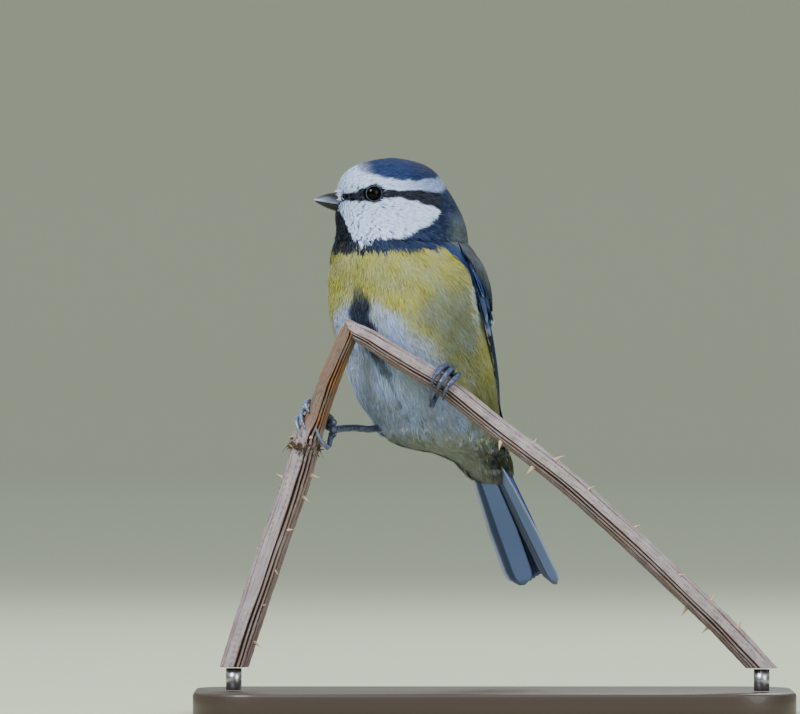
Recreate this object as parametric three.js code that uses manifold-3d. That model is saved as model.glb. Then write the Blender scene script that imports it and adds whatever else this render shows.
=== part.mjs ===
// A life-size blue tit gripping a bent bramble stem, on a plain display stand.
// Millimetres, +Z up. +X is the right of the front view, and +Y is away from the viewer.
// The origin is the middle of the underside of the stand's base. The bird and its perch are laid out in a
// frame of their own, which PERCHED places over the stand.

import * as THREE from "three";
import { mergeVertices } from "three/addons/utils/BufferGeometryUtils.js";
import Module from "manifold-3d";

const wasm = await Module();
wasm.setup();

// Where the frame of the bird and its perch lies over the stand.
const PERCHED = new THREE.Vector3(1.5, 0, -14);

// Clearance between neighbouring pieces.
const GAP = 0.3;

// Posture. A heading is how far a front turns from the left of the front view towards the viewer.
const BODY_HEADING = 50;
const HEAD_HEADING = 10;

// The plumage outline, level by level from the crown to the tail coverts:
// height, centre x, centre y, half length, half width, heading, and how much the front narrows.
const LEVELS = [
  [152.9, -27.2, -5.2, 0.6, 0.5, 10, 0.1],
  [152.3, -27.2, -5.2, 4.6, 3.9, 10, 0.1],
  [151.0, -27.3, -5.3, 8.7, 7.3, 10, 0.1],
  [149.0, -27.4, -5.3, 11.5, 9.4, 10, 0.12],
  [146.0, -27.2, -5.2, 13.4, 10.7, 10, 0.14],
  [142.5, -26.2, -5.1, 14.6, 11.6, 10, 0.15],
  [138.5, -25.4, -4.9, 15.9, 12.6, 10, 0.12],
  [135.0, -24.7, -5.0, 16.5, 13.3, 17, 0.08],
  [132.0, -24.8, -5.4, 17.3, 14.8, 29, 0.04],
  [129.0, -24.6, -6.0, 18.1, 17.2, 41, 0],
  [125.5, -23.9, -5.8, 18.1, 19.0, 48, 0],
  [121.0, -23.3, -4.9, 18.5, 20.2, 50, 0],
  [116.0, -22.9, -4.4, 18.9, 20.4, 50, 0],
  [110.0, -21.9, -3.3, 19.4, 19.9, 50, 0],
  [104.0, -20.4, -1.5, 19.1, 19.1, 50, 0],
  [98.0, -19.1, 0.1, 18.8, 18.3, 50, 0],
  [92.5, -17.8, 1.6, 18.1, 17.2, 50, 0],
  [88.0, -16.0, 3.8, 17.1, 15.6, 50, 0],
  [84.6, -14.7, 5.3, 16.4, 14.0, 50, 0],
  [82.4, -13.1, 7.2, 15.2, 12.6, 50, 0],
  [80.9, -10.4, 10.4, 12.4, 10.5, 50, 0],
  [79.6, -7.0, 14.5, 8.6, 8.2, 50, 0],
  [77.6, -4.4, 17.6, 6.4, 6.6, 50, 0],
  [75.0, -3.0, 19.2, 5.0, 5.6, 50, 0],
  [72.6, -1.7, 20.8, 3.7, 4.6, 50, 0],
  [71.4, -1.1, 21.5, 2.2, 2.8, 50, 0],
  [71.0, -0.9, 21.7, 0.4, 0.5, 50, 0],
];
const RINGS_PER_LEVEL = 1;
const BODY_SIDES = 26;

// Heights of the cuts between head, neck and torso, and how far down the tail coverts leave the torso.
const HEAD_CUT = 134.2;
const NECK_CUT = 128.6;
const RUMP_CUT = 80.2;

// Bill: it leaves the face here, and the tip is this far ahead.
const BILL_BASE = new THREE.Vector3(-40.3, -7.4, 142.2);
const BILL_TIP = new THREE.Vector3(-46.6, -8.6, 142.35);
const BILL_ROOT_DEPTH = 3;
const BILL_UP = 2.75;
const BILL_DOWN = 2.65;
const BILL_HALF_WIDTH = 2.25;
const MOUTH_DROP = 1.05;
const NOSTRIL = { ahead: 1.3, up: 0.75, radius: 0.34 };

// Eyes: the ball, how far it stands out of the plumage, and the lid ring round it.
const EYE = { x: -31.4, z: 143.9, radius: 2.35, proud: 0.75 };
const LID = { radius: 2.2, thickness: 0.42 };

// Wings: a folded wing lies in a shallow bed in the plumage. A place on it is a height and an angle round
// the body from the back, and a rise above the bed's floor.
const WING_BED = 2.9;
const WING_FRONT = [[133, 74], [128, 84], [121, 88], [112, 84], [103, 78], [94, 69], [86, 53], [76, 40]];
const WING_BACK = [[133, 50], [128, 36], [121, 25], [112, 17], [103, 13], [94, 13], [86, 20], [76, 30]];
const WING_TIP_LEVEL = { z: 70, back: 6.5, long: 13.5, wide: 7.5 };
const BED_LEAVES_BODY = 88;
const VANE = 0.5;

// Tail: twelve feathers, whose blades leave the coverts at the root and end at the tips.
const TAIL_ROOT = new THREE.Vector3(-4.0, 15.4, 81.5);
const TAIL_DIRECTION = new THREE.Vector3(12.3, 13.0, -28.25).normalize();
const TAIL_LENGTH = 41.2;
const TAIL_PAIRS = 6;

// Legs.
const TARSUS_RADIUS = 0.85;
const TOE_RADIUS = 0.66;
const CLAW_RADIUS = 0.45;
const PALM_RADIUS = 1.2;

// Paths of the toes and claws as angle round the stem from the viewer's side, shift down it and reach from
// its middle line; the tarsus runs on from the palm through points of the room.
const LEFT_FOOT = {
  height: 96.3,
  palm: [-150, 0.2, 4.8],
  tarsus: [[-15.4, -15.5, 100.5], [-18.2, -11, 104.5], [-21, -7, 108]],
  toes: [
    { name: "inner", path: [[-150, -0.8, 4.6], [-102, -1.9, 4.5], [-55, -3.0, 3.8], [-12, -3.3, 3.5]],
      claw: [[-12, -3.3, 3.5], [8, -3.0, 3.8], [32, -2.4, 3.6], [52, -1.8, 3.2]] },
    { name: "middle", path: [[-150, 0.2, 5.0], [-102, -0.3, 5.0], [-48, -1.1, 3.9], [0, -1.1, 3.5]],
      claw: [[0, -1.1, 3.5], [22, -0.8, 3.9], [48, -0.1, 3.7], [74, 0.9, 3.2]] },
    { name: "outer", path: [[-150, 1.2, 4.6], [-102, 1.8, 4.6], [-52, 1.3, 3.8], [-8, 0.9, 3.5]],
      claw: [[-8, 0.9, 3.5], [18, 1.2, 3.9], [46, 1.8, 3.7], [74, 2.5, 3.2]] },
    { name: "hind", path: [[-170, 0.4, 4.8], [-208, 0.7, 4.9], [-240, 0.9, 5.6], [-264, 1.1, 6.0]],
      claw: [[-264, 1.1, 6.0], [-286, 0.2, 5.9], [-316, -1.6, 4.6], [-350, -2.9, 3.6]] },
  ],
};
const RIGHT_FOOT = {
  height: 88,
  palm: [-112, 1.4, 5.6],
  tarsus: [[-37, -6.2, 85.6], [-32, -2.6, 85.2], [-27, 1, 86]],
  toes: [
    { name: "inner", path: [[-130, -0.6, 5.2], [-172, -1.6, 4.0], [-222, -2.8, 3.7], [-268, -3.2, 3.5]],
      claw: [[-268, -3.2, 3.5], [-284, -2.8, 3.9], [-302, -2.0, 3.7], [-318, -1.4, 3.3]] },
    { name: "middle", path: [[-130, 0.6, 5.4], [-172, 0.2, 4.3], [-222, -0.6, 4.0], [-270, -0.9, 3.7]],
      claw: [[-270, -0.9, 3.7], [-288, -0.3, 4.2], [-312, 1.2, 4.2], [-336, 2.6, 3.8]] },
    { name: "outer", path: [[-130, 1.8, 5.2], [-172, 1.9, 4.3], [-222, 1.5, 4.1], [-270, 1.2, 3.9]],
      claw: [[-270, 1.2, 3.9], [-288, 1.8, 4.5], [-312, 3.2, 4.5], [-336, 4.6, 4.2]] },
    { name: "hind", path: [[-112, 2.6, 5.6], [-110, 4.2, 5.8], [-106, 5.4, 5.9], [-98, 5.8, 5.7]],
      claw: [[-98, 5.8, 5.7], [-74, 5.4, 5.6], [-44, 3.8, 4.6], [-14, 1.4, 3.9]] },
  ],
};

// Perch: the middle line of each arm of the bent stem, with its radius at each point.
const RIGHT_ARM = [
  [-39.2, -21.6, 112.7, 0.6], [-37.4, -22.4, 110.8, 1.9], [-30.8, -23.8, 107.1, 2.3],
  [-25.0, -24.2, 103.3, 2.3], [-14.8, -22.6, 96.6, 2.35], [0.2, -21.4, 84.8, 2.4],
  [12.7, -21.0, 75.4, 2.5], [27.7, -20.6, 62.3, 2.55], [47.7, -20.4, 43.5, 2.6],
  [57.7, -20.2, 33.7, 2.65], [67.7, -20.2, 22.9, 2.65], [75.7, -20.2, 14.9, 2.65],
  [81.7, -20.2, 8.3, 2.65],
];
const LEFT_ARM = [
  [-37.4, -21.2, 109.8, 1.7], [-38.3, -20.8, 107.7, 2.1], [-41.6, -18.0, 100.0, 2.3],
  [-43.8, -15.6, 94.0, 2.35], [-45.8, -13.8, 88.4, 2.5], [-48.1, -12.8, 83.2, 3.3],
  [-49.0, -12.4, 79.0, 3.1], [-51.2, -11.8, 71.5, 3.15], [-56.8, -11.0, 55.5, 3.2],
  [-62.1, -10.4, 39.5, 3.15], [-67.2, -10.0, 23.5, 3.1], [-72.2, -10.0, 8.0, 3.2],
];
const RIDGES = 5;
const RIDGE_DEPTH = 0.13;
const STEM_STEP = 6;
const ARM_CUT = 26;
const PRICKLE = { length: 2.0, radius: 0.62, spacing: 5.2 };
// Heights between which a foot grips each arm and no prickle grows.
const RIGHT_ARM_GRIP = [112, 84];
const LEFT_ARM_GRIP = [112, 82];

// Stand.
const BASE = { length: 150, depth: 70, height: 6, corner: 16, bevel: 0.8 };
const ROD_RADIUS = 2;

const material = (colour, roughness, metalness = 0) =>
  new THREE.MeshStandardMaterial({ color: colour, roughness, metalness });
const PLUMAGE_YELLOW = material(0xb5ad55, 0.9);
const PLUMAGE_WHITE = material(0xcfd6e6, 0.9);
const PLUMAGE_NAVY = material(0x27375c, 0.85);
const WING_BLUE = material(0x3c5480, 0.7);
const TAIL_BLUE = material(0x5b6f95, 0.65);
const HORN = material(0x4a4a55, 0.4);
const EYE_BLACK = material(0x0c0a0a, 0.05);
const LEG_GREY = material(0x6a7688, 0.55);
const STEM_BROWN = material(0x9a8578, 0.85);
const BASE_WOOD = material(0x4b3a2e, 0.5);
const ROD_STEEL = material(0x8f9296, 0.35, 1);

const radians = THREE.MathUtils.degToRad;
const lerp = THREE.MathUtils.lerp;
const V = (x, y, z) => new THREE.Vector3(x, y, z);

// A number that follows hand-set pairs, straight between them.
function follow(pairs, at) {
  const falling = pairs[0][0] > pairs[pairs.length - 1][0];
  const rows = falling ? [...pairs].reverse() : pairs;
  if (at <= rows[0][0]) return rows[0][1];
  for (let i = 1; i < rows.length; i++) {
    if (at <= rows[i][0]) {
      const share = (at - rows[i - 1][0]) / (rows[i][0] - rows[i - 1][0]);
      return lerp(rows[i - 1][1], rows[i][1], share);
    }
  }
  return rows[rows.length - 1][1];
}

// A repeatable draw between 0 and 1.
let seed = 7;
function draw() {
  seed = (seed * 16807) % 2147483647;
  return seed / 2147483647;
}

// Geometry to solid and back.
function solid(points, triangles) {
  const geometry = new THREE.BufferGeometry().setFromPoints(points).setIndex(triangles);
  const merged = mergeVertices(geometry, 1e-4);
  const vertProperties = new Float32Array(merged.attributes.position.array);
  const build = (index) =>
    new wasm.Manifold(new wasm.Mesh({ numProp: 3, vertProperties, triVerts: new Uint32Array(index) }));
  const index = Array.from(merged.index.array);
  const made = build(index);
  return made.volume() < 0 ? build(index.reverse()) : made;
}

function solidOfGeometry(geometry) {
  const plain = geometry.index ? geometry.toNonIndexed() : geometry;
  const position = plain.getAttribute("position");
  const points = Array.from({ length: position.count }, (_, i) => V().fromBufferAttribute(position, i));
  return solid(points, points.map((_, i) => i));
}

const volumeOf = (made) => made.volume();
const largest = (made) => made.decompose().sort((a, b) => volumeOf(b) - volumeOf(a))[0];
const union = (pieces) => wasm.Manifold.union(pieces);

function node(name, made, finish) {
  const kept = largest(made).getMesh();
  const positions = new Float32Array(kept.numVert * 3);
  for (let i = 0; i < kept.numVert; i++) {
    positions.set(kept.vertProperties.subarray(i * kept.numProp, i * kept.numProp + 3), i * 3);
  }
  const geometry = new THREE.BufferGeometry();
  geometry.setAttribute("position", new THREE.BufferAttribute(positions, 3));
  geometry.setIndex(new THREE.BufferAttribute(new Uint32Array(kept.triVerts), 1));
  geometry.computeVertexNormals();
  const mesh = new THREE.Mesh(geometry, finish);
  mesh.name = name;
  return mesh;
}

// A closed skin over rings of equal length, capped at both ends.
function loft(rings) {
  const sides = rings[0].length;
  const points = rings.flat();
  const triangles = [];
  for (let r = 0; r + 1 < rings.length; r++) {
    for (let s = 0; s < sides; s++) {
      const a = r * sides + s;
      const b = r * sides + ((s + 1) % sides);
      triangles.push(a, b, b + sides, a, b + sides, a + sides);
    }
  }
  for (const [r, flip] of [[0, true], [rings.length - 1, false]]) {
    const middle = rings[r].reduce((sum, p) => sum.add(p), V(0, 0, 0)).divideScalar(sides);
    const centre = points.push(middle) - 1;
    for (let s = 0; s < sides; s++) {
      const a = r * sides + s;
      const b = r * sides + ((s + 1) % sides);
      triangles.push(...(flip ? [a, centre, b] : [a, b, centre]));
    }
  }
  return solid(points, triangles);
}

// A thin plate between two like grids of points, both split the same way.
function plate(top, bottom) {
  const rows = top.length;
  const columns = top[0].length;
  const under = rows * columns;
  const points = [...top.flat(), ...bottom.flat()];
  const triangles = [];
  const at = (r, c) => r * columns + c;
  for (let r = 0; r + 1 < rows; r++) {
    for (let c = 0; c + 1 < columns; c++) {
      const [a, b, d, e] = [at(r, c), at(r, c + 1), at(r + 1, c + 1), at(r + 1, c)];
      triangles.push(a, b, d, a, d, e);
      triangles.push(a + under, d + under, b + under, a + under, e + under, d + under);
    }
  }
  const rim = [];
  for (let c = 0; c < columns; c++) rim.push(at(0, c));
  for (let r = 1; r < rows; r++) rim.push(at(r, columns - 1));
  for (let c = columns - 2; c >= 0; c--) rim.push(at(rows - 1, c));
  for (let r = rows - 2; r > 0; r--) rim.push(at(r, 0));
  rim.forEach((a, i) => {
    const b = rim[(i + 1) % rim.length];
    triangles.push(a, a + under, b + under, a, b + under, b);
  });
  return solid(points, triangles);
}

// A round tube whose radius follows the line.
function tube(points, radii, sides, steps) {
  const line = new THREE.CatmullRomCurve3(points);
  const frames = line.computeFrenetFrames(steps, false);
  const rings = [];
  for (let i = 0; i <= steps; i++) {
    const share = i / steps;
    const place = line.getPoint(share);
    const at = share * (radii.length - 1);
    const low = Math.min(Math.floor(at), radii.length - 2);
    const radius = lerp(radii[low], radii[low + 1], at - low);
    rings.push(
      Array.from({ length: sides }, (_, s) => {
        const turn = (2 * Math.PI * s) / sides;
        return place
          .clone()
          .addScaledVector(frames.normals[i], radius * Math.cos(turn))
          .addScaledVector(frames.binormals[i], radius * Math.sin(turn));
      }),
    );
  }
  return loft(rings);
}

// The plumage outline.
const centres = new THREE.CatmullRomCurve3(LEVELS.map(([z, x, y]) => V(x, y, z)));
const sizes = new THREE.CatmullRomCurve3(LEVELS.map((l) => V(l[3], l[4], l[5])));
const narrowing = LEVELS.map((l) => [l[0], l[6]]);

function levelAtShare(share) {
  const centre = centres.getPoint(share);
  const size = sizes.getPoint(share);
  return { centre, long: size.x, wide: size.y, heading: size.z, narrow: follow(narrowing, centre.z) };
}

function levelAtHeight(z) {
  let low = 0;
  let high = 1;
  for (let i = 0; i < 24; i++) {
    const middle = (low + high) / 2;
    if (centres.getPoint(middle).z > z) low = middle;
    else high = middle;
  }
  return levelAtShare(low);
}

const frontOf = (heading) => V(-Math.cos(radians(heading)), -Math.sin(radians(heading)), 0);
const leftOf = (heading) => V(Math.sin(radians(heading)), -Math.cos(radians(heading)), 0);

// A point of a level's outline. The turn is 0 at the front and 90 at the bird's left.
function outline(level, turn, grow = 0) {
  const along = Math.cos(radians(turn));
  const across = Math.sin(radians(turn)) * (1 - level.narrow * along);
  return level.centre
    .clone()
    .addScaledVector(frontOf(level.heading), (level.long + grow) * along)
    .addScaledVector(leftOf(level.heading), (level.wide + grow) * across);
}

function plumage(grow = 0) {
  const count = (LEVELS.length - 1) * RINGS_PER_LEVEL;
  const rings = [];
  for (let i = 0; i <= count; i++) {
    const level = levelAtShare(i / count);
    if (i === 0) level.centre.z += grow;
    if (i === count) level.centre.z -= grow;
    rings.push(Array.from({ length: BODY_SIDES }, (_, s) => outline(level, (360 * s) / BODY_SIDES, grow)));
  }
  return loft(rings);
}

function slab(centre, normal, thickness) {
  const geometry = new THREE.BoxGeometry(500, 500, thickness);
  geometry.applyQuaternion(new THREE.Quaternion().setFromUnitVectors(V(0, 0, 1), normal));
  geometry.translate(centre.x, centre.y, centre.z);
  return solidOfGeometry(geometry);
}

// The block on one side of a plane, big enough for the whole bird.
function halfSpace(centre, normal, offset) {
  const deep = 300;
  return slab(centre.clone().addScaledVector(normal, offset + deep / 2), normal, deep);
}

// A place on a wing's bed. The side is 1 for the bird's left and -1 for its right.
function bedPlace(side, z, angle, rise) {
  const body = levelAtHeight(Math.max(z, BED_LEAVES_BODY));
  const back = frontOf(BODY_HEADING).negate();
  const left = leftOf(BODY_HEADING);
  let { long, wide } = body;
  const centre = body.centre.clone();
  if (z < BED_LEAVES_BODY) {
    const share = (BED_LEAVES_BODY - z) / (BED_LEAVES_BODY - WING_TIP_LEVEL.z);
    const backNow = centre.dot(back);
    centre.addScaledVector(back, share * (WING_TIP_LEVEL.back - backNow));
    long = lerp(long, WING_TIP_LEVEL.long, share);
    wide = lerp(wide, WING_TIP_LEVEL.wide, share);
    centre.z = z;
  }
  const turned = radians(angle);
  return centre
    .addScaledVector(back, (long + rise) * Math.cos(turned))
    .addScaledVector(left, side * (wide + rise) * Math.sin(turned));
}

// How deep the bed is: full under the middle of the wing and shallow at its edges.
function bedDepth(z, angle) {
  const front = follow(WING_FRONT, z);
  const back = follow(WING_BACK, z);
  const share = (angle - back) / (front - back);
  const across = Math.max(0, Math.min(1, Math.min(share, 1 - share) / 0.22 + 0.15));
  const down = Math.max(0, Math.min(1, (134 - z) / 5));
  return WING_BED * across * down;
}

const onWing = (side, z, angle, rise) => bedPlace(side, z, angle, rise - bedDepth(z, angle));

function bedNormal(side, z, angle) {
  const down = bedPlace(side, z - 0.5, angle, 0).sub(bedPlace(side, z + 0.5, angle, 0));
  const round = bedPlace(side, z, angle + 1, 0).sub(bedPlace(side, z, angle - 1, 0));
  return down.cross(round).multiplyScalar(side).normalize();
}

// One feather of the wing: a roofed blade from its root to its rounded tip.
function wingVane(side, feather) {
  const rows = 3;
  const across = [-1, 0, 1];
  const shape = [0.7, 1, 0.95, 0.3];
  const top = [];
  const bottom = [];
  for (let r = 0; r <= rows; r++) {
    const share = r / rows;
    const z = lerp(feather.rootZ, feather.tipZ, share);
    const angle = lerp(feather.rootAngle, feather.tipAngle, share) + feather.bow * Math.sin(Math.PI * share);
    const step = 0.04;
    const angleAt = (s) =>
      lerp(feather.rootAngle, feather.tipAngle, s) + feather.bow * Math.sin(Math.PI * s);
    const ahead = onWing(side, lerp(feather.rootZ, feather.tipZ, share + step), angleAt(share + step), 0);
    const behind = onWing(side, lerp(feather.rootZ, feather.tipZ, share - step), angleAt(share - step), 0);
    const along = ahead.sub(behind).normalize();
    const normal = bedNormal(side, z, angle);
    const outward = normal.clone().cross(along).multiplyScalar(-side).normalize();
    const middle = onWing(side, z, angle, lerp(feather.rootRise, feather.tipRise, share));
    const thick = share === 1 ? VANE * 0.6 : VANE;
    top.push([]);
    bottom.push([]);
    for (const c of across) {
      const reach = c * feather.halfWidth * shape[r];
      const crown = c === 0 ? 0.15 : 0;
      const point = middle
        .clone()
        .addScaledVector(outward, reach)
        .addScaledVector(normal, reach * feather.slope + crown);
      top[r].push(point.clone().addScaledVector(normal, thick / 2));
      bottom[r].push(point.clone().addScaledVector(normal, -thick / 2));
    }
  }
  return plate(top, bottom);
}

// Flight feathers from the innermost tertial to the outermost primary, as shares across the folded wing.
const TERTIALS = 3;
const SECONDARIES = 4;
const PRIMARIES = 6;

function flightFeathers() {
  const feathers = [];
  const count = TERTIALS + SECONDARIES + PRIMARIES;
  for (let i = 0; i < count; i++) {
    const share = (i + 0.5) / count;
    const tertial = i < TERTIALS;
    const primary = i - TERTIALS - SECONDARIES;
    const tipZ = tertial
      ? 99 - 3.2 * i
      : primary < 0
        ? 91.2 - 0.9 * (i - TERTIALS)
        : 86.2 - 9.4 * Math.sin((Math.PI / 2) * Math.min(1, (primary + 1) / 5)) + (primary > 4 ? 3 : 0);
    const rootZ = 116;
    const acrossAt = (z) => lerp(follow(WING_BACK, z) + 7, follow(WING_FRONT, z) - 3, share);
    feathers.push({
      rootZ,
      tipZ,
      rootAngle: acrossAt(rootZ),
      tipAngle: acrossAt(tipZ),
      bow: 1.5,
      halfWidth: tertial ? 2.7 : primary < 0 ? 2.4 : 2.2,
      slope: tertial ? 0.42 : primary < 0 ? 0.6 : 0.66,
      rootRise: 1.9,
      tipRise: tertial ? 2.2 : 1.9,
    });
  }
  return feathers;
}

const ALULA = {
  rootZ: 119,
  tipZ: 109,
  rootAngle: 80,
  tipAngle: 79,
  bow: 0,
  halfWidth: 1.5,
  slope: 0.3,
  rootRise: 1.6,
  tipRise: 3.0,
};

// A row of coverts that overlaps the row or the feathers below it.
function covertRow(count, rootZ, tipZ, rootRise, tipRise, from, to, halfWidth) {
  return Array.from({ length: count }, (_, i) => {
    const share = lerp(from, to, (i + 0.5) / count);
    const acrossAt = (z) => lerp(follow(WING_BACK, z), follow(WING_FRONT, z), share);
    const lift = 1.6 * share;
    return {
      rootZ: rootZ + lift,
      tipZ: tipZ + lift,
      rootAngle: acrossAt(rootZ),
      tipAngle: acrossAt(tipZ),
      bow: 0,
      halfWidth,
      slope: 0.32,
      rootRise,
      tipRise,
    };
  });
}

// The arm and hand of the folded wing under its small coverts.
function wingArm(side) {
  const rows = 7;
  const columns = 6;
  const [topZ, lowZ] = [132.4, 112.5];
  const outer = [];
  const inner = [];
  for (let r = 0; r <= rows; r++) {
    const z = lerp(topZ, lowZ, r / rows);
    outer.push([]);
    inner.push([]);
    for (let c = 0; c <= columns; c++) {
      const share = lerp(0.03, 0.97, c / columns);
      const angle = lerp(follow(WING_BACK, z), follow(WING_FRONT, z), share);
      const swell = Math.sin(Math.PI * lerp(0.06, 0.94, c / columns)) ** 0.7;
      const lowEnd = r > rows - 2 ? 0.9 - 0.25 * (r - rows + 1) : 1;
      const rise = 0.35 + 3.4 * swell * Math.min(1, 0.25 + r / 3) * lowEnd;
      outer[r].push(onWing(side, z, angle, Math.max(rise, 0.75)));
      inner[r].push(onWing(side, z, angle, 0));
    }
  }
  return plate(outer, inner);
}

function wing(side, keepOut) {
  const feathers = [
    ...flightFeathers(),
    ...covertRow(6, 119, 110.5, 2.4, 3.6, 0.1, 0.96, 2.3),
    ...covertRow(5, 124, 116.6, 2.6, 3.8, 0.14, 0.92, 2.5),
    ALULA,
  ];
  const pieces = feathers.map((feather) => wingVane(side, feather));
  return union([wingArm(side), ...pieces]).subtract(keepOut);
}

// The hollow in the plumage that a wing lies in.
function wingBed(side) {
  const rows = 12;
  const columns = 5;
  const floor = [];
  const sky = [];
  for (let r = 0; r <= rows; r++) {
    const z = lerp(134.5, 71, r / rows);
    floor.push([]);
    sky.push([]);
    for (let c = 0; c <= columns; c++) {
      const angle = lerp(follow(WING_BACK, z) - 2, follow(WING_FRONT, z) + 2, c / columns);
      floor[r].push(bedPlace(side, z, angle, -bedDepth(z, angle) - GAP));
      sky[r].push(bedPlace(side, z, angle, 7));
    }
  }
  return plate(sky, floor);
}

// The tail: each feather is a long blade. Level 0 is the uppermost.
function tailFrame() {
  const along = TAIL_DIRECTION.clone();
  const left = leftOf(BODY_HEADING);
  const under = along.clone().cross(left).normalize();
  if (under.z > 0) under.negate();
  return { along, left, under };
}

function tailVane(side, pair, level) {
  const { along, left, under } = tailFrame();
  const rows = 4;
  const shape = [0.5, 0.8, 1, 0.98, 0.34];
  const length = TAIL_LENGTH - 0.35 * Math.abs(pair - 4);
  const halfWidth = 3.15;
  const offset = 0.9 + 0.62 * pair;
  const fan = radians(0.9 + 0.75 * pair);
  const slope = 0.16;
  const top = [];
  const bottom = [];
  for (let r = 0; r <= rows; r++) {
    const share = [0, 0.3, 0.6, 0.86, 1][r];
    const run = length * share;
    const spread = 0.55 + 0.45 * share;
    const middle = TAIL_ROOT.clone()
      .addScaledVector(along, run * Math.cos(fan))
      .addScaledVector(left, side * (offset * spread + run * Math.sin(fan) * 0.55))
      .addScaledVector(under, (level - 3.5) * 0.78 + 0.6 * share * share);
    const thick = share === 1 ? VANE * 0.6 : VANE;
    top.push([]);
    bottom.push([]);
    for (const c of [-1, 0, 1]) {
      const reach = c * halfWidth * shape[r];
      const point = middle
        .clone()
        .addScaledVector(left, side * reach)
        .addScaledVector(under, reach * slope - (c === 0 ? 0.14 : 0));
      top[r].push(point.clone().addScaledVector(under, -thick / 2));
      bottom[r].push(point.clone().addScaledVector(under, thick / 2));
    }
  }
  return plate(top, bottom);
}

function tail(coverts) {
  const vanes = [];
  for (let pair = 0; pair < TAIL_PAIRS; pair++) {
    const inner = pair === 0 || pair === TAIL_PAIRS - 1;
    vanes.push(tailVane(1, pair, pair + (pair === TAIL_PAIRS - 1 ? 1 : inner ? 0 : 0.6)));
    vanes.push(tailVane(-1, pair, pair + (pair === TAIL_PAIRS - 1 ? 2 : inner ? 1 : 0.6)));
  }
  return union([coverts, ...vanes]);
}

// Bill halves, parted along the line of the mouth.
function billHalf(upper) {
  const ahead = BILL_TIP.clone().sub(BILL_BASE);
  const length = ahead.length();
  ahead.normalize();
  const side = leftOf(HEAD_HEADING);
  const up = side.clone().cross(ahead).normalize();
  if (up.z < 0) up.negate();
  const steps = 7;
  const sides = 12;
  const rings = [];
  for (let i = 0; i <= steps; i++) {
    const run = lerp(-BILL_ROOT_DEPTH, upper ? length : length - 0.35, i / steps);
    const share = Math.max(0, run / length);
    const taper = Math.max(0.05, (1 - share ** 1.6) ** 0.85);
    const mouth = -MOUTH_DROP * (1 - share ** 1.2) + (upper ? GAP / 2 : -GAP / 2) * (1 - share);
    const height = upper ? BILL_UP * taper : (BILL_DOWN - MOUTH_DROP) * taper;
    rings.push(
      Array.from({ length: sides }, (_, s) => {
        const turn = (2 * Math.PI * s) / sides;
        const half = BILL_HALF_WIDTH * taper * (upper ? 1 : 0.9);
        const lift = Math.max(0, Math.sin(turn)) * (height + (upper ? -mouth : 0) * 0.35);
        return BILL_BASE.clone()
          .addScaledVector(ahead, run)
          .addScaledVector(side, half * Math.cos(turn))
          .addScaledVector(up, mouth + (upper ? lift : -lift));
      }),
    );
  }
  const made = loft(rings);
  if (!upper) return made;
  const nostrils = [1, -1].map((way) => {
    const hole = new THREE.SphereGeometry(NOSTRIL.radius, 8, 6);
    hole.scale(1.5, 1, 1);
    const place = BILL_BASE.clone()
      .addScaledVector(ahead, NOSTRIL.ahead)
      .addScaledVector(up, NOSTRIL.up)
      .addScaledVector(side, way * BILL_HALF_WIDTH * 0.86);
    hole.translate(place.x, place.y, place.z);
    return solidOfGeometry(hole);
  });
  return made.subtract(union(nostrils));
}

// Where a ray from outside meets the plumage.
function eyePlace(way) {
  const head = levelAtHeight(EYE.z);
  const front = frontOf(HEAD_HEADING);
  const left = leftOf(HEAD_HEADING);
  const nearX = EYE.x;
  let best = null;
  for (let turn = 5; turn < 120; turn += 0.5) {
    const place = outline(head, turn);
    if (!best || Math.abs(place.x - nearX) < Math.abs(best.x - nearX)) best = place;
  }
  const along = best.clone().sub(head.centre).dot(front);
  const across = best.clone().sub(head.centre).dot(left);
  return head.centre
    .clone()
    .addScaledVector(front, along)
    .addScaledVector(left, way * (across + EYE.proud - EYE.radius));
}

function eyeball(way, radius) {
  const ball = new THREE.SphereGeometry(radius, 14, 9);
  ball.rotateX(Math.PI / 2);
  const place = eyePlace(way);
  ball.translate(place.x, place.y, place.z);
  return solidOfGeometry(ball);
}

function lidRing(way) {
  const ring = new THREE.TorusGeometry(LID.radius, LID.thickness, 5, 14);
  const outward = leftOf(HEAD_HEADING).multiplyScalar(way);
  ring.applyQuaternion(new THREE.Quaternion().setFromUnitVectors(V(0, 0, 1), outward));
  const place = eyePlace(way).addScaledVector(outward, EYE.radius - EYE.proud - 0.05);
  ring.translate(place.x, place.y, place.z);
  return solidOfGeometry(ring);
}

// Perch arms.
function armLine(rows) {
  return new THREE.CatmullRomCurve3(rows.map(([x, y, z]) => V(x, y, z)));
}

function armFrame(rows, share) {
  const line = armLine(rows);
  const along = line.getTangent(share).normalize();
  const towards = V(0, -1, 0).addScaledVector(along, along.y).normalize();
  const aside = along.clone().cross(towards).normalize();
  const at = share * (rows.length - 1);
  const low = Math.min(Math.floor(at), rows.length - 2);
  const radius = lerp(rows[low][3], rows[low + 1][3], at - low);
  return { place: line.getPoint(share), along, towards, aside, radius };
}

function arm(rows, grow = 0) {
  const length = armLine(rows).getLength();
  const steps = Math.round(length / STEM_STEP);
  const rings = [];
  for (let i = 0; i <= steps; i++) {
    const share = i / steps;
    const { place, towards, aside, radius } = armFrame(rows, share);
    rings.push(
      Array.from({ length: RIDGES * 2 }, (_, s) => {
        const turn = (Math.PI * (s + 0.6)) / RIDGES + 0.25 * share;
        const reach = radius * (s % 2 ? 1 - RIDGE_DEPTH : 1 + RIDGE_DEPTH / 2) + grow;
        return place
          .clone()
          .addScaledVector(towards, reach * Math.cos(turn))
          .addScaledVector(aside, reach * Math.sin(turn));
      }),
    );
  }
  return loft(rings);
}

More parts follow.
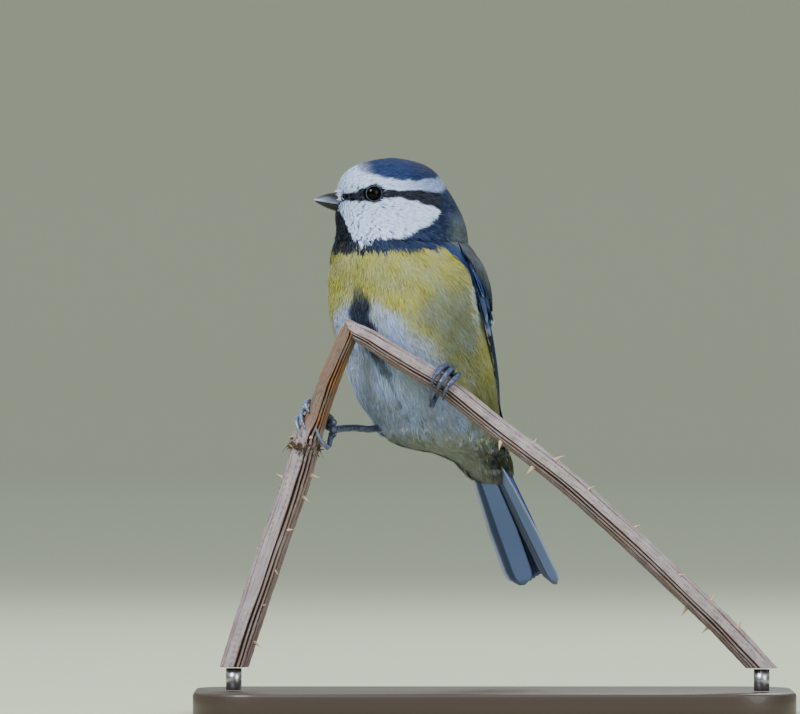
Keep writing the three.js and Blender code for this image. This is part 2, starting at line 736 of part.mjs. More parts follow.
// A prickle: broad at the foot, hooked a little down the stem.
function prickle(frame, turn, length, radius) {
  const out = frame.towards
    .clone()
    .multiplyScalar(Math.cos(turn))
    .addScaledVector(frame.aside, Math.sin(turn));
  const foot = frame.place.clone().addScaledVector(out, frame.radius * 0.55);
  const middle = frame.place.clone().addScaledVector(out, frame.radius + length * 0.4);
  const tip = frame.place
    .clone()
    .addScaledVector(out, frame.radius + length)
    .addScaledVector(frame.along, length * 0.45);
  return tube([foot, middle, tip], [radius, radius * 0.42, 0.07], 3, 3);
}

function prickles(rows, [gripTop, gripLow]) {
  const length = armLine(rows).getLength();
  const count = Math.floor(length / PRICKLE.spacing);
  const made = [];
  for (let i = 0; i < count; i++) {
    const share = (i + 0.2 + 0.6 * draw()) / count;
    const turn = (i * 2.4 + draw()) % (2 * Math.PI);
    const scale = 0.6 + 0.6 * draw();
    const frame = armFrame(rows, share);
    if (frame.place.z < gripTop && frame.place.z > gripLow) continue;
    made.push(prickle(frame, turn, PRICKLE.length * scale, PRICKLE.radius * scale));
  }
  return made;
}

// The frame of a stem at a height, where a foot grips it or a rod holds it.
function gripFrame(rows, height) {
  let low = 0;
  let high = 1;
  const line = armLine(rows);
  for (let i = 0; i < 24; i++) {
    const middle = (low + high) / 2;
    if (line.getPoint(middle).z > height) low = middle;
    else high = middle;
  }
  return armFrame(rows, low);
}

function gripPoint(frame, angle, shift, reach) {
  const turn = radians(angle);
  return frame.place
    .clone()
    .addScaledVector(frame.along, shift)
    .addScaledVector(frame.towards, reach * Math.cos(turn))
    .addScaledVector(frame.aside, reach * Math.sin(turn));
}

// A tube through points of the grip or of the room.
function legTube(frame, path, radii, sides, steps, grow) {
  const points = path.map((p) => (p.isVector3 ? p : gripPoint(frame, ...p)));
  return tube(points, radii.map((r) => r + grow), sides, steps);
}

// The pieces of one leg in the order they are fitted: each keeps clear of the ones before it.
function leg(frame, plan) {
  const palm = gripPoint(frame, ...plan.palm);
  const shank = (grow) => {
    const ball = new THREE.SphereGeometry(PALM_RADIUS + grow, 8, 6);
    ball.translate(palm.x, palm.y, palm.z);
    const path = [palm, ...plan.tarsus.map(([x, y, z]) => V(x, y, z))];
    const radii = [1.15, 1, 1, 1.2].map((k) => k * TARSUS_RADIUS);
    return union([solidOfGeometry(ball), legTube(frame, path, radii, 7, 5, grow)]);
  };
  const toe = (path) => (grow) =>
    legTube(frame, path, [1.0, 1.15, 0.92, 1.08, 0.85].map((k) => k * TOE_RADIUS), 6, 6, grow);
  const claw = (path) => (grow) =>
    legTube(frame, path, [1.25, 1, 0.62, 0.2].map((k) => k * CLAW_RADIUS), 5, 4, grow);
  const makers = [["tarsus", shank]];
  plan.toes.forEach(({ name, path }) => makers.push([`toe_${name}`, toe(path)]));
  plan.toes.forEach(({ name, claw: path }) => makers.push([`claw_${name}`, claw(path)]));
  const taken = [];
  return makers.map(([name, make]) => {
    const made = taken.length ? make(0).subtract(union(taken)) : make(0);
    taken.push(make(GAP));
    return { name, made, room: taken[taken.length - 1] };
  });
}

function standBase() {
  const { length, depth, height, corner, bevel } = BASE;
  const half = V(length / 2 - bevel, depth / 2 - bevel, 0);
  const shape = new THREE.Shape();
  shape.absarc(half.x - corner, half.y - corner, corner, 0, Math.PI / 2);
  shape.absarc(corner - half.x, half.y - corner, corner, Math.PI / 2, Math.PI);
  shape.absarc(corner - half.x, corner - half.y, corner, Math.PI, 1.5 * Math.PI);
  shape.absarc(half.x - corner, corner - half.y, corner, 1.5 * Math.PI, 2 * Math.PI);
  const geometry = new THREE.ExtrudeGeometry(shape, {
    depth: height - 2 * bevel,
    bevelEnabled: true,
    bevelThickness: bevel,
    bevelSize: bevel,
    bevelSegments: 1,
    curveSegments: 4,
  });
  geometry.translate(0, 0, bevel);
  return solidOfGeometry(geometry);
}

function standRod(rows) {
  const top = gripFrame(rows, ARM_CUT).place;
  const low = BASE.height + GAP;
  const high = ARM_CUT + PERCHED.z - GAP;
  const rod = new THREE.CylinderGeometry(ROD_RADIUS, ROD_RADIUS, high - low, 14);
  rod.rotateX(Math.PI / 2);
  rod.translate(top.x + PERCHED.x, top.y, (high + low) / 2);
  return solidOfGeometry(rod);
}

const display = new THREE.Group();
const perched = new THREE.Group();
perched.position.copy(PERCHED);
display.add(perched);
const add = (name, made, finish) => perched.add(node(name, made, finish));

// Head, neck, torso and the coverts round the tail, parted by thin cuts.
const whole = plumage();
const grown = plumage(GAP);
const beds = union([wingBed(1), wingBed(-1)]);
const up = V(0, 0, 1);
const down = V(0, 0, -1);
const headCut = V(0, 0, HEAD_CUT);
const neckCut = V(0, 0, NECK_CUT);
const rumpCut = levelAtHeight(RUMP_CUT).centre;
const eyes = [1, -1].map((way) => eyeball(way, EYE.radius + GAP));
const lids = [1, -1].map((way) => lidRing(way));
const carved = whole.subtract(beds);
const headSolid = union([carved.intersect(halfSpace(headCut, up, GAP / 2)), ...lids]).subtract(union(eyes));
add("head", headSolid, PLUMAGE_WHITE);
add(
  "neck",
  carved.intersect(halfSpace(headCut, down, GAP / 2)).intersect(halfSpace(neckCut, up, GAP / 2)),
  PLUMAGE_NAVY,
);
const legs = {
  left: leg(gripFrame(RIGHT_ARM, LEFT_FOOT.height), LEFT_FOOT),
  right: leg(gripFrame(LEFT_ARM, RIGHT_FOOT.height), RIGHT_FOOT),
};
const legRoom = union([...legs.left, ...legs.right].map((piece) => piece.room));
const lower = carved.intersect(halfSpace(neckCut, down, GAP / 2)).subtract(legRoom);
add("torso", lower.intersect(halfSpace(rumpCut, TAIL_DIRECTION.clone().negate(), GAP / 2)), PLUMAGE_YELLOW);
const coverts = lower.intersect(halfSpace(rumpCut, TAIL_DIRECTION, GAP / 2));
const tailSide = halfSpace(rumpCut, TAIL_DIRECTION, GAP / 2);
add("tail", tail(coverts).intersect(tailSide), TAIL_BLUE);

const keepOut = grown.intersect(halfSpace(V(0, 0, 0), up, 0)).subtract(beds);
const wings = {};
for (const [side, name] of [[1, "wing_left"], [-1, "wing_right"]]) {
  wings[name] = wing(side, keepOut);
}
add("wing_left", wings.wing_left, WING_BLUE);
add("wing_right", wings.wing_right, WING_BLUE);

const face = grown.intersect(halfSpace(headCut, up, 0));
add("bill_upper", billHalf(true).subtract(face), HORN);
add("bill_lower", billHalf(false).subtract(face), HORN);
add("eye_left", eyeball(1, EYE.radius), EYE_BLACK);
add("eye_right", eyeball(-1, EYE.radius), EYE_BLACK);

// Perch.
const rightArm = union([arm(RIGHT_ARM), ...prickles(RIGHT_ARM, RIGHT_ARM_GRIP)]).subtract(legRoom);
const leftArm = union([arm(LEFT_ARM), ...prickles(LEFT_ARM, LEFT_ARM_GRIP)]).subtract(
  union([arm(RIGHT_ARM, GAP), legRoom]),
);
const aboveCut = halfSpace(V(0, 0, ARM_CUT), up, 0);
add("perch_right_arm", rightArm.intersect(aboveCut), STEM_BROWN);
add("perch_left_arm", leftArm.intersect(aboveCut), STEM_BROWN);

// Legs.
for (const side of ["left", "right"]) {
  for (const piece of legs[side]) {
    add(`${piece.name}_${side}`, piece.made, piece.name.startsWith("claw") ? HORN : LEG_GREY);
  }
}

display.add(node("stand_base", standBase(), BASE_WOOD));
display.add(node("stand_rod_left", standRod(LEFT_ARM), ROD_STEEL));
display.add(node("stand_rod_right", standRod(RIGHT_ARM), ROD_STEEL));

export default display;
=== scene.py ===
"""A life-size blue tit gripping a bent bramble stem on a small display stand.

Lengths in the tables are millimetres in the frame of the bird and its perch, which PERCHED places over the
stand. Blender's own units here are metres.
"""

import math

import bmesh
import bpy
import numpy as np
from bpy.props import FloatProperty, FloatVectorProperty, IntProperty, PointerProperty
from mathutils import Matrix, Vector
from mathutils.bvhtree import BVHTree

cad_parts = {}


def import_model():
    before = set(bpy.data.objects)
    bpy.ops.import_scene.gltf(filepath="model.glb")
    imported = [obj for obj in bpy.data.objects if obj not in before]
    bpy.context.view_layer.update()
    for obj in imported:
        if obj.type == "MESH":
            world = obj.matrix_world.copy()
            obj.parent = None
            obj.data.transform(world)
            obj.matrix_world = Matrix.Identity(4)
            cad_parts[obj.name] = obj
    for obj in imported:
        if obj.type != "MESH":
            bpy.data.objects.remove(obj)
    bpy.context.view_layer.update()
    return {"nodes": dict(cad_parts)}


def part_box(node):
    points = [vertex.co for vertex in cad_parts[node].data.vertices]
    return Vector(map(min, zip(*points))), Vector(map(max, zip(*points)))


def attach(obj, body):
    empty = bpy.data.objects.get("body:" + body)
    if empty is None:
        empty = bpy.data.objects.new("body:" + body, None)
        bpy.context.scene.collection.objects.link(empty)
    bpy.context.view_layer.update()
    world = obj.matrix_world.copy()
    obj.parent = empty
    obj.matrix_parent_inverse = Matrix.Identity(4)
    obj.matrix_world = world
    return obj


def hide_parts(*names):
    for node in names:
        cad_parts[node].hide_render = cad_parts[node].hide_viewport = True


bl_info = {
    "name": "Perched blue tit",
    "version": (1, 0, 0),
    "blender": (4, 5, 0),
    "location": "3D View > Sidebar > Blue tit",
    "description": "Plumage, bare parts, bramble stem and stand of a life-size blue tit",
    "category": "Object",
}

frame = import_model()
PERCHED = np.array([1.5, 0.0, -14.0])
MM = 0.001

# Plumage outline by level: height, centre x, centre y, half length, half width, heading, narrowing in front.
LEVELS = np.array([
    [152.9, -27.2, -5.2, 0.6, 0.5, 10, 0.1],
    [152.3, -27.2, -5.2, 4.6, 3.9, 10, 0.1],
    [151.0, -27.3, -5.3, 8.7, 7.3, 10, 0.1],
    [149.0, -27.4, -5.3, 11.5, 9.4, 10, 0.12],
    [146.0, -27.2, -5.2, 13.4, 10.7, 10, 0.14],
    [142.5, -26.2, -5.1, 14.6, 11.6, 10, 0.15],
    [138.5, -25.4, -4.9, 15.9, 12.6, 10, 0.12],
    [135.0, -24.7, -5.0, 16.5, 13.3, 17, 0.08],
    [132.0, -24.8, -5.4, 17.3, 14.8, 29, 0.04],
    [129.0, -24.6, -6.0, 18.1, 17.2, 41, 0],
    [125.5, -23.9, -5.8, 18.1, 19.0, 48, 0],
    [121.0, -23.3, -4.9, 18.5, 20.2, 50, 0],
    [116.0, -22.9, -4.4, 18.9, 20.4, 50, 0],
    [110.0, -21.9, -3.3, 19.4, 19.9, 50, 0],
    [104.0, -20.4, -1.5, 19.1, 19.1, 50, 0],
    [98.0, -19.1, 0.1, 18.8, 18.3, 50, 0],
    [92.5, -17.8, 1.6, 18.1, 17.2, 50, 0],
    [88.0, -16.0, 3.8, 17.1, 15.6, 50, 0],
    [84.6, -14.7, 5.3, 16.4, 14.0, 50, 0],
    [82.4, -13.1, 7.2, 15.2, 12.6, 50, 0],
    [80.9, -10.4, 10.4, 12.4, 10.5, 50, 0],
    [79.6, -7.0, 14.5, 8.6, 8.2, 50, 0],
    [77.6, -4.4, 17.6, 6.4, 6.6, 50, 0],
    [75.0, -3.0, 19.2, 5.0, 5.6, 50, 0],
    [72.6, -1.7, 20.8, 3.7, 4.6, 50, 0],
    [71.4, -1.1, 21.5, 2.2, 2.8, 50, 0],
    [71.0, -0.9, 21.7, 0.4, 0.5, 50, 0],
])
# Columns of a level that hold the x, y and z of its middle.
CENTRE = [1, 2, 0]
BODY_HEADING = 50.0
HEAD_HEADING = 10.0
HEAD_MIDDLE = np.array([-27.0, -5.2, 143.0])
BILL_BASE = np.array([-40.3, -7.4, 142.2])
BILL_TIP = np.array([-46.6, -8.6, 142.35])
EYE_ROOM = 2.15
# Where each leg leaves the belly feathers, and a point farther down it.
TROUSERS = (
    ("left", (-19.6, -9.0, 106.2), (-15.4, -15.5, 100.5)),
    ("right", (-27.6, 0.6, 86.0), (-37.0, -6.2, 85.4)),
)
TAIL_ROOT = np.array([-4.0, 15.4, 81.5])
TAIL_WAY = np.array([12.3, 13.0, -28.25]) / np.linalg.norm([12.3, 13.0, -28.25])
TO_VIEWER = np.array([0.0, -1.0, 0.0])
UPWARDS = np.array([0.0, 0.0, 1.0])
GOLDEN_ANGLE, GOLDEN_SHARE = 137.50776, 0.6180339
NECK_TOP, BREAST_END, BELLY_END = 133.5, 117, 98

# Front and back edges of a folded wing: height and angle round the body from the back.
WING_FRONT = np.array([[76, 40], [86, 53], [94, 69], [103, 78], [112, 84], [121, 88], [128, 84], [133, 74]])
WING_BACK = np.array([[76, 30], [86, 20], [94, 13], [103, 13], [112, 17], [121, 25], [128, 36], [133, 50]])
WING_BED = 2.9
BED_LEAVES_BODY = 88
WING_TIP = {"z": 70, "back": 6.5, "long": 13.5, "wide": 7.5}
ARM_TOP, ARM_FOOT = 132.2, 114.5
WING_GRID = (14, 6)
WING_OUTLINE = [(0, 0.55), (0.3, 0.9), (0.75, 1), (0.9, 0.82), (0.97, 0.5), (1, 0.12)]
TAIL_GRID = (20, 16)
TAIL_OUTLINE = [(0, 0.45), (0.3, 0.8), (0.6, 1), (0.9, 0.98), (0.965, 0.8), (0.99, 0.45), (1, 0.2)]
TAIL_LENGTH = 41.2
VANE_THICKNESS = 0.14

# Middle line of each arm of the stem, with its radius, from past the bend down to past the level cut.
RIGHT_ARM = np.array([
    [-42.0, -21.6, 112.3, 1.9], [-38.8, -22.1, 110.9, 1.9], [-36.5, -22.5, 109.7, 1.95],
    [-31.9, -23.5, 107.3, 2.15], [-25.0, -24.0, 102.8, 2.3], [-14.8, -22.6, 96.6, 2.35],
    [0.2, -21.4, 84.8, 2.4], [12.7, -21.0, 75.4, 2.5], [27.7, -20.6, 62.3, 2.55],
    [47.7, -20.4, 43.5, 2.6], [57.7, -20.2, 33.7, 2.65], [67.7, -20.2, 22.9, 2.65],
    [75.7, -20.2, 14.9, 2.65],
])
LEFT_ARM = np.array([
    [-35.6, -22.0, 114.4, 1.75], [-37.0, -21.6, 110.8, 1.75], [-38.3, -20.8, 107.7, 2.1],
    [-41.6, -18.0, 100.0, 2.3], [-43.8, -15.6, 94.0, 2.35], [-45.8, -13.8, 88.4, 2.5],
    [-48.1, -12.8, 83.2, 3.3], [-49.0, -12.4, 79.0, 3.1], [-51.2, -11.8, 71.5, 3.15],
    [-56.8, -11.0, 55.5, 3.2], [-62.1, -10.4, 39.5, 3.15], [-67.2, -10.0, 23.5, 3.1],
    [-72.2, -10.0, 8.0, 3.2],
])
ARM_CUT = 26.0
# The slanting plane that trims both arms at the bend: a place on it, and the way it faces.
STEM_APEX = np.array([-37.5, -22.0, 109.9])
STEM_APEX_WAY = np.array([0.896, 0.0, 0.443])
# Lengthwise grooves: degrees round from the viewer's side, half width in degrees, and depth.
RIGHT_GROOVES = [
    (-47, 5, 0.8), (11, 5, 0.9), (28, 6, 1), (46, 5, 0.9), (78, 7, 0.8), (118, 8, 1), (160, 7, 0.8),
    (-152, 8, 1), (-112, 7, 0.9), (-80, 6, 0.7),
]
LEFT_GROOVES = [
    (52, 5, 0.5), (-8, 6, 1), (-26, 5, 0.9), (-43, 5, 0.9), (-72, 7, 0.8), (-110, 8, 1), (-150, 7, 0.8),
    (160, 8, 1), (120, 7, 0.9), (84, 6, 0.7),
]
# Shares of the way down the left arm between which its thick node is frayed.
FRAYED = (0.51875, 0.57375)


# Places and directions.
def smooth_rows(rows, shares):
    """Values on a smooth line through evenly spread rows."""
    at = np.clip(np.atleast_1d(shares), 0, 1) * (len(rows) - 1)
    i = np.minimum(at.astype(int), len(rows) - 2)
    f = (at - i)[:, None]
    pad = np.vstack([2 * rows[0] - rows[1], rows, 2 * rows[-1] - rows[-2]])
    a, b, c, d = pad[i], pad[i + 1], pad[i + 2], pad[i + 3]
    return 0.5 * (2 * b + (c - a) * f + (2 * a - 5 * b + 4 * c - d) * f**2 + (3 * b - a - 3 * c + d) * f**3)


DENSE = smooth_rows(LEVELS, np.linspace(0, 1, 1200))
STEPS = np.linalg.norm(np.diff(DENSE[:, [0, 1, 2, 3]], axis=0), axis=1)
RUN = np.concatenate([[0], np.cumsum(STEPS)]) / STEPS.sum()


def level_at(share):
    """The outline's level at a share of the way from the crown to the coverts under the tail."""
    return np.stack([np.interp(share, RUN, DENSE[:, k]) for k in range(7)], -1)


def share_at(z):
    return np.interp(-np.asarray(z, float), -DENSE[:, 0], RUN)


def unit(v):
    return v / np.maximum(np.linalg.norm(v, axis=-1, keepdims=True), 1e-9)


def front_of(heading):
    h = np.radians(heading)
    return np.stack([-np.cos(h), -np.sin(h), 0 * h], -1)


def left_of(heading):
    h = np.radians(heading)
    return np.stack([np.sin(h), -np.cos(h), 0 * h], -1)


HEAD_AHEAD, HEAD_LEFT = front_of(HEAD_HEADING), left_of(HEAD_HEADING)
BODY_AHEAD, BODY_LEFT = front_of(BODY_HEADING), left_of(BODY_HEADING)


def square_to(v, way):
    """The part of v at right angles to a way, as a unit vector."""
    return unit(v - way * (v * way).sum(-1, keepdims=True))


def circle(a, b, turn):
    """Unit vectors at a turn from a towards b."""
    return a * np.cos(turn)[..., None] + b * np.sin(turn)[..., None]


def from_back(turn):
    """A turn from the front as the angle from the back, on either side."""
    return 180 - np.abs((turn + 180) % 360 - 180)


def wing_angle(z, share, inset=(0, 0)):
    """Angle from the back at a share of the way from a folded wing's back edge to its front edge."""
    back = np.interp(z, *WING_BACK.T) + inset[0]
    front = np.interp(z, *WING_FRONT.T) - inset[1]
    return back + (front - back) * share


def outline(level, turn, grow=0.0):
    """Points of the outline; the turn is 0 at the front and 90 at the bird's left."""
    turn = np.radians(turn)
    along = np.cos(turn)
    across = np.sin(turn) * (1 - level[..., 6] * along)
    grow = np.asarray(grow)
    return (
        level[..., CENTRE]
        + front_of(level[..., 5]) * ((level[..., 3] + grow) * along)[..., None]
        + left_of(level[..., 5]) * ((level[..., 4] + grow) * across)[..., None]
    )


def bed_depth(z, angle):
    """How deep the hollow under a folded wing is, at a height and an angle from the back."""
    back, front = wing_angle(z, 0), wing_angle(z, 1)
    share = (angle - back) / (front - back)
    across = np.clip(np.minimum(share, 1 - share) / 0.22 + 0.15, 0, 1)
    return WING_BED * across * np.clip((134 - z) / 5, 0, 1) * (np.asarray(z) > 74)


def body_place(share, turn, rise=0.0):
    """A point over the plumage's surface, which dips under the wings."""
    level = level_at(share)
    return outline(level, turn, rise - bed_depth(level[..., 0], from_back(turn)))


def whole_place(share, turn):
    """A point on the plumage as it would be with no wings on it."""
    return outline(level_at(share), turn)


def surface_frame(place, u, v, step=2e-3):
    """Point, outward normal and the two surface directions of place(u, v)."""
    p = place(u, v)
    along = unit(place(np.minimum(u + step, 1), v) - place(np.maximum(u - step, 0), v))
    round_ = unit(place(u, v + 1.0) - place(u, v - 1.0))
    return p, unit(np.cross(along, round_)), along, round_


def coat_depth(share):
    """Depth of the feathers over the skin: shallow on the head, and none deeper than the property."""
    z = level_at(share)[..., 0]
    full = bpy.context.scene.tit_plumage.coat_depth / MM
    return full * np.interp(z, [71.5, 76, 84, 126, 136, 152], [0.35, 0.6, 1, 1, 0.6, 0.5])


def sunk(place):
    """The given surface moved inwards by the coat's depth."""
    def under(u, v):
        p, normal, _, _ = surface_frame(place, u, v)
        return p - normal * coat_depth(u)[..., None]
    return under


def bed_place(side, z, angle, rise):
    """A point over a wing's bed, which leaves the body towards the wing tip."""
    z, angle, rise = np.broadcast_arrays(*(np.asarray(q, float) for q in (z, angle, rise)))
    level = level_at(share_at(np.maximum(z, BED_LEAVES_BODY)))
    centre = level[..., CENTRE].copy()
    share = np.clip((BED_LEAVES_BODY - z) / (BED_LEAVES_BODY - WING_TIP["z"]), 0, 1.2)
    centre -= BODY_AHEAD * (share * (WING_TIP["back"] + centre @ BODY_AHEAD))[..., None]
    centre[..., 2] = z
    long = level[..., 3] + (WING_TIP["long"] - level[..., 3]) * share
    wide = level[..., 4] + (WING_TIP["wide"] - level[..., 4]) * share
    turned = np.radians(angle)
    return (
        centre
        - BODY_AHEAD * ((long + rise) * np.cos(turned))[..., None]
        + BODY_LEFT * (side * (wide + rise) * np.sin(turned))[..., None]
    )


def on_wing(side, z, angle, rise):
    return bed_place(side, z, angle, np.asarray(rise) - bed_depth(z, angle))


# Meshes.
def world(points):
    """Places in the table's frame as Blender's metres."""
    return (np.asarray(points, float) + PERCHED) * MM


def perch_places(mesh):
    """A mesh's vertices in the table's frame."""
    spots = np.zeros(len(mesh.vertices) * 3)
    mesh.vertices.foreach_get("co", spots)
    return spots.reshape(-1, 3) / MM - PERCHED


def corner_vertices(mesh):
    corners = np.zeros(len(mesh.loops), np.int32)
    mesh.loops.foreach_get("vertex_index", corners)
    return corners


def from_bmesh(name, shell, outwards=False):
    """A mesh from a bmesh, which is freed."""
    if outwards:
        bmesh.ops.recalc_face_normals(shell, faces=shell.faces)
    mesh = bpy.data.meshes.new(name)
    shell.to_mesh(mesh)
    shell.free()
    return mesh


def linked(name, mesh, material=None):
    made = bpy.data.objects.new(name, mesh)
    bpy.context.scene.collection.objects.link(made)
    if material:
        mesh.materials.append(material)
    for face in mesh.polygons:
        face.use_smooth = True
    return made


def thicken(made, depth):
    solid = made.modifiers.new("Thickness", "SOLIDIFY")
    solid.thickness, solid.offset = depth * MM, 0


def colour_points(mesh, colours):
    """Stores a colour for each vertex, linear."""
    layer = mesh.color_attributes.new("Colour", "FLOAT_COLOR", "POINT")
    rgba = np.ones((len(mesh.vertices), 4), np.float32)
    rgba[:, :3] = colours
    layer.data.foreach_set("color", rgba.ravel())


def array_mesh(name, points, faces, uv=None):
    """A joined mesh from arrays of vertices, of faces of one size, and of a UV for each vertex."""
    mesh = bpy.data.meshes.new(name)
    corners = np.concatenate([f.ravel() for f in faces]).astype(np.int32)
    sizes = np.concatenate([np.full(len(f), f.shape[1]) for f in faces]).astype(np.int32)
    mesh.vertices.add(len(points))
    mesh.vertices.foreach_set("co", world(points).astype(np.float32).ravel())
    mesh.loops.add(len(corners))
    mesh.loops.foreach_set("vertex_index", corners)
    mesh.polygons.add(len(sizes))
    mesh.polygons.foreach_set("loop_start", np.concatenate([[0], np.cumsum(sizes)[:-1]]).astype(np.int32))
    mesh.polygons.foreach_set("loop_total", sizes)
    mesh.update(calc_edges=True)
    if uv is not None:
        layer = mesh.uv_layers.new(name="OFBake")
        layer.data.foreach_set("uv", uv[corners].astype(np.float32).ravel())
    mesh.validate()
    return mesh


def bent_grid(name, along, around, place, closed=True):
    """A grid bent to place(u, v) for u and v from 0 to 1, with its seam and poles merged."""
    shell = bmesh.new()
    uv = shell.loops.layers.uv.new("Surface")
    bmesh.ops.create_grid(shell, x_segments=along, y_segments=around, size=0.5)
    shell.verts.ensure_lookup_table()
    flat = np.array([v.co[:2] for v in shell.verts]) + 0.5
    bent = world(place(flat[:, 0], flat[:, 1]))
    for face in shell.faces:
        for loop in face.loops:
            loop[uv].uv = loop.vert.co.xy + Vector((0.5, 0.5))
    for vert, co in zip(shell.verts, bent):
        vert.co = co
    if closed:
        bmesh.ops.remove_doubles(shell, verts=shell.verts, dist=2e-6)
        bmesh.ops.holes_fill(shell, edges=[e for e in shell.edges if e.is_boundary], sides=0)
    return from_bmesh(name, shell, outwards=closed)


def from_nodes(name, nodes, voxel, rounds, material, bridge=0.0, grow=0.0):
    """One smooth closed skin round copies of CAD nodes. A ball bridges each later copy to the first."""
    shell = bmesh.new()
    copies = [frame["nodes"][node].data for node in nodes]
    for copy in copies:
        shell.from_mesh(copy)
    bmesh.ops.remove_doubles(shell, verts=shell.verts, dist=1e-6)
    first = np.array([v.co for v in copies[0].vertices])
    for copy in copies[1:]:
        other = np.array([v.co for v in copy.vertices])
        far = np.linalg.norm(first[:, None] - other[None], axis=-1)
        nearest = first[far.min(1).argmin()]
        close = other[far.min(0) < far.min() + 0.5 * MM]
        ball = bmesh.ops.create_uvsphere(shell, u_segments=16, v_segments=10, radius=bridge * MM)
        bmesh.ops.translate(shell, verts=ball["verts"], vec=Vector((nearest + close.mean(0)) / 2))
    made = linked(name, from_bmesh(name, shell), material)
    remesh = made.modifiers.new("Even", "REMESH")
    remesh.mode, remesh.voxel_size = "VOXEL", voxel * MM
    remesh.use_smooth_shade = True
    smooth = made.modifiers.new("Soft", "SMOOTH")
    smooth.iterations = rounds
    swell = made.modifiers.new("Swell", "DISPLACE")
    swell.mid_level, swell.strength = 0, grow * MM
    return made


def finish_piece(made, nodes, body="root"):
    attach(made, body)
    if nodes:
        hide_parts(*nodes)
    return made


# Finishes.
def linear(hex_colour):
    """A given sRGB colour as linear values."""
    c = np.array([hex_colour >> 16 & 255, hex_colour >> 8 & 255, hex_colour & 255]) / 255
    return np.where(c <= 0.04045, c / 12.92, ((c + 0.055) / 1.055) ** 2.4)


def finish(name, colour=None, roughness=0.5, metallic=0.0, coat=0.0, attribute=False, specular=0.5):
    made = bpy.data.materials.new(name)
    made.use_nodes = True
    nodes, links = made.node_tree.nodes, made.node_tree.links
    shader = nodes["Principled BSDF"]
    if colour is not None:
        shader.inputs["Base Color"].default_value = (*colour, 1)
    shader.inputs["Roughness"].default_value = roughness
    shader.inputs["Metallic"].default_value = metallic
    shader.inputs["Coat Weight"].default_value = coat
    shader.inputs["Specular IOR Level"].default_value = specular
    if attribute:
        read = nodes.new("ShaderNodeAttribute")
        read.attribute_name = "Colour"
        links.new(read.outputs["Color"], shader.inputs["Base Color"])
    return made


def bump(material, height, strength, distance):
    nodes, links = material.node_tree.nodes, material.node_tree.links
    node = nodes.new("ShaderNodeBump")
    node.inputs["Strength"].default_value = strength
    node.inputs["Distance"].default_value = distance
    links.new(height, node.inputs["Height"])
    links.new(node.outputs["Normal"], nodes["Principled BSDF"].inputs["Normal"])


# Markings.
YELLOW, PALE_YELLOW, OLIVE = linear(0xA29E48), linear(0x94966A), linear(0x565838)
BELLY, CHEEK, WHITE = linear(0xA4B4DC), linear(0xCFDFFF), linear(0xDAE6FF)
CAP, NAVY, BIB, STRIPE = linear(0x182D5A), linear(0x0D1A36), linear(0x0B0F1A), linear(0x0F131D)
MANTLE, RUMP, COLLAR = linear(0x555E62), linear(0x6A7052), linear(0x13254A)
WING_BLUE, SLATE, COVERT = linear(0x2E4674), linear(0x0E1013), linear(0x1F3564)
VENT, COVERT_PALE = linear(0x9A9C78), linear(0x8A8A80)
GREY_FLANK = linear(0x636B68)
TAIL_BLUE = linear(0x7086BC)


def edge(x, low, high):
    t = np.clip((x - low) / (high - low), 0, 1)
    return t * t * (3 - 2 * t)


def mix(a, b, share):
    return a + (b - a) * np.asarray(share)[..., None]


def wander(p, scale, seed):
    """A soft random field over space, from a few crossed waves."""
    rng = np.random.default_rng(seed)
    total = np.zeros(p.shape[:-1])
    for _ in range(6):
        way = unit(rng.normal(size=3)) * 2 * np.pi / scale * rng.uniform(0.6, 1.7)
        total += np.sin(p @ way + rng.uniform(0, 6.3))
    return total / 3.2


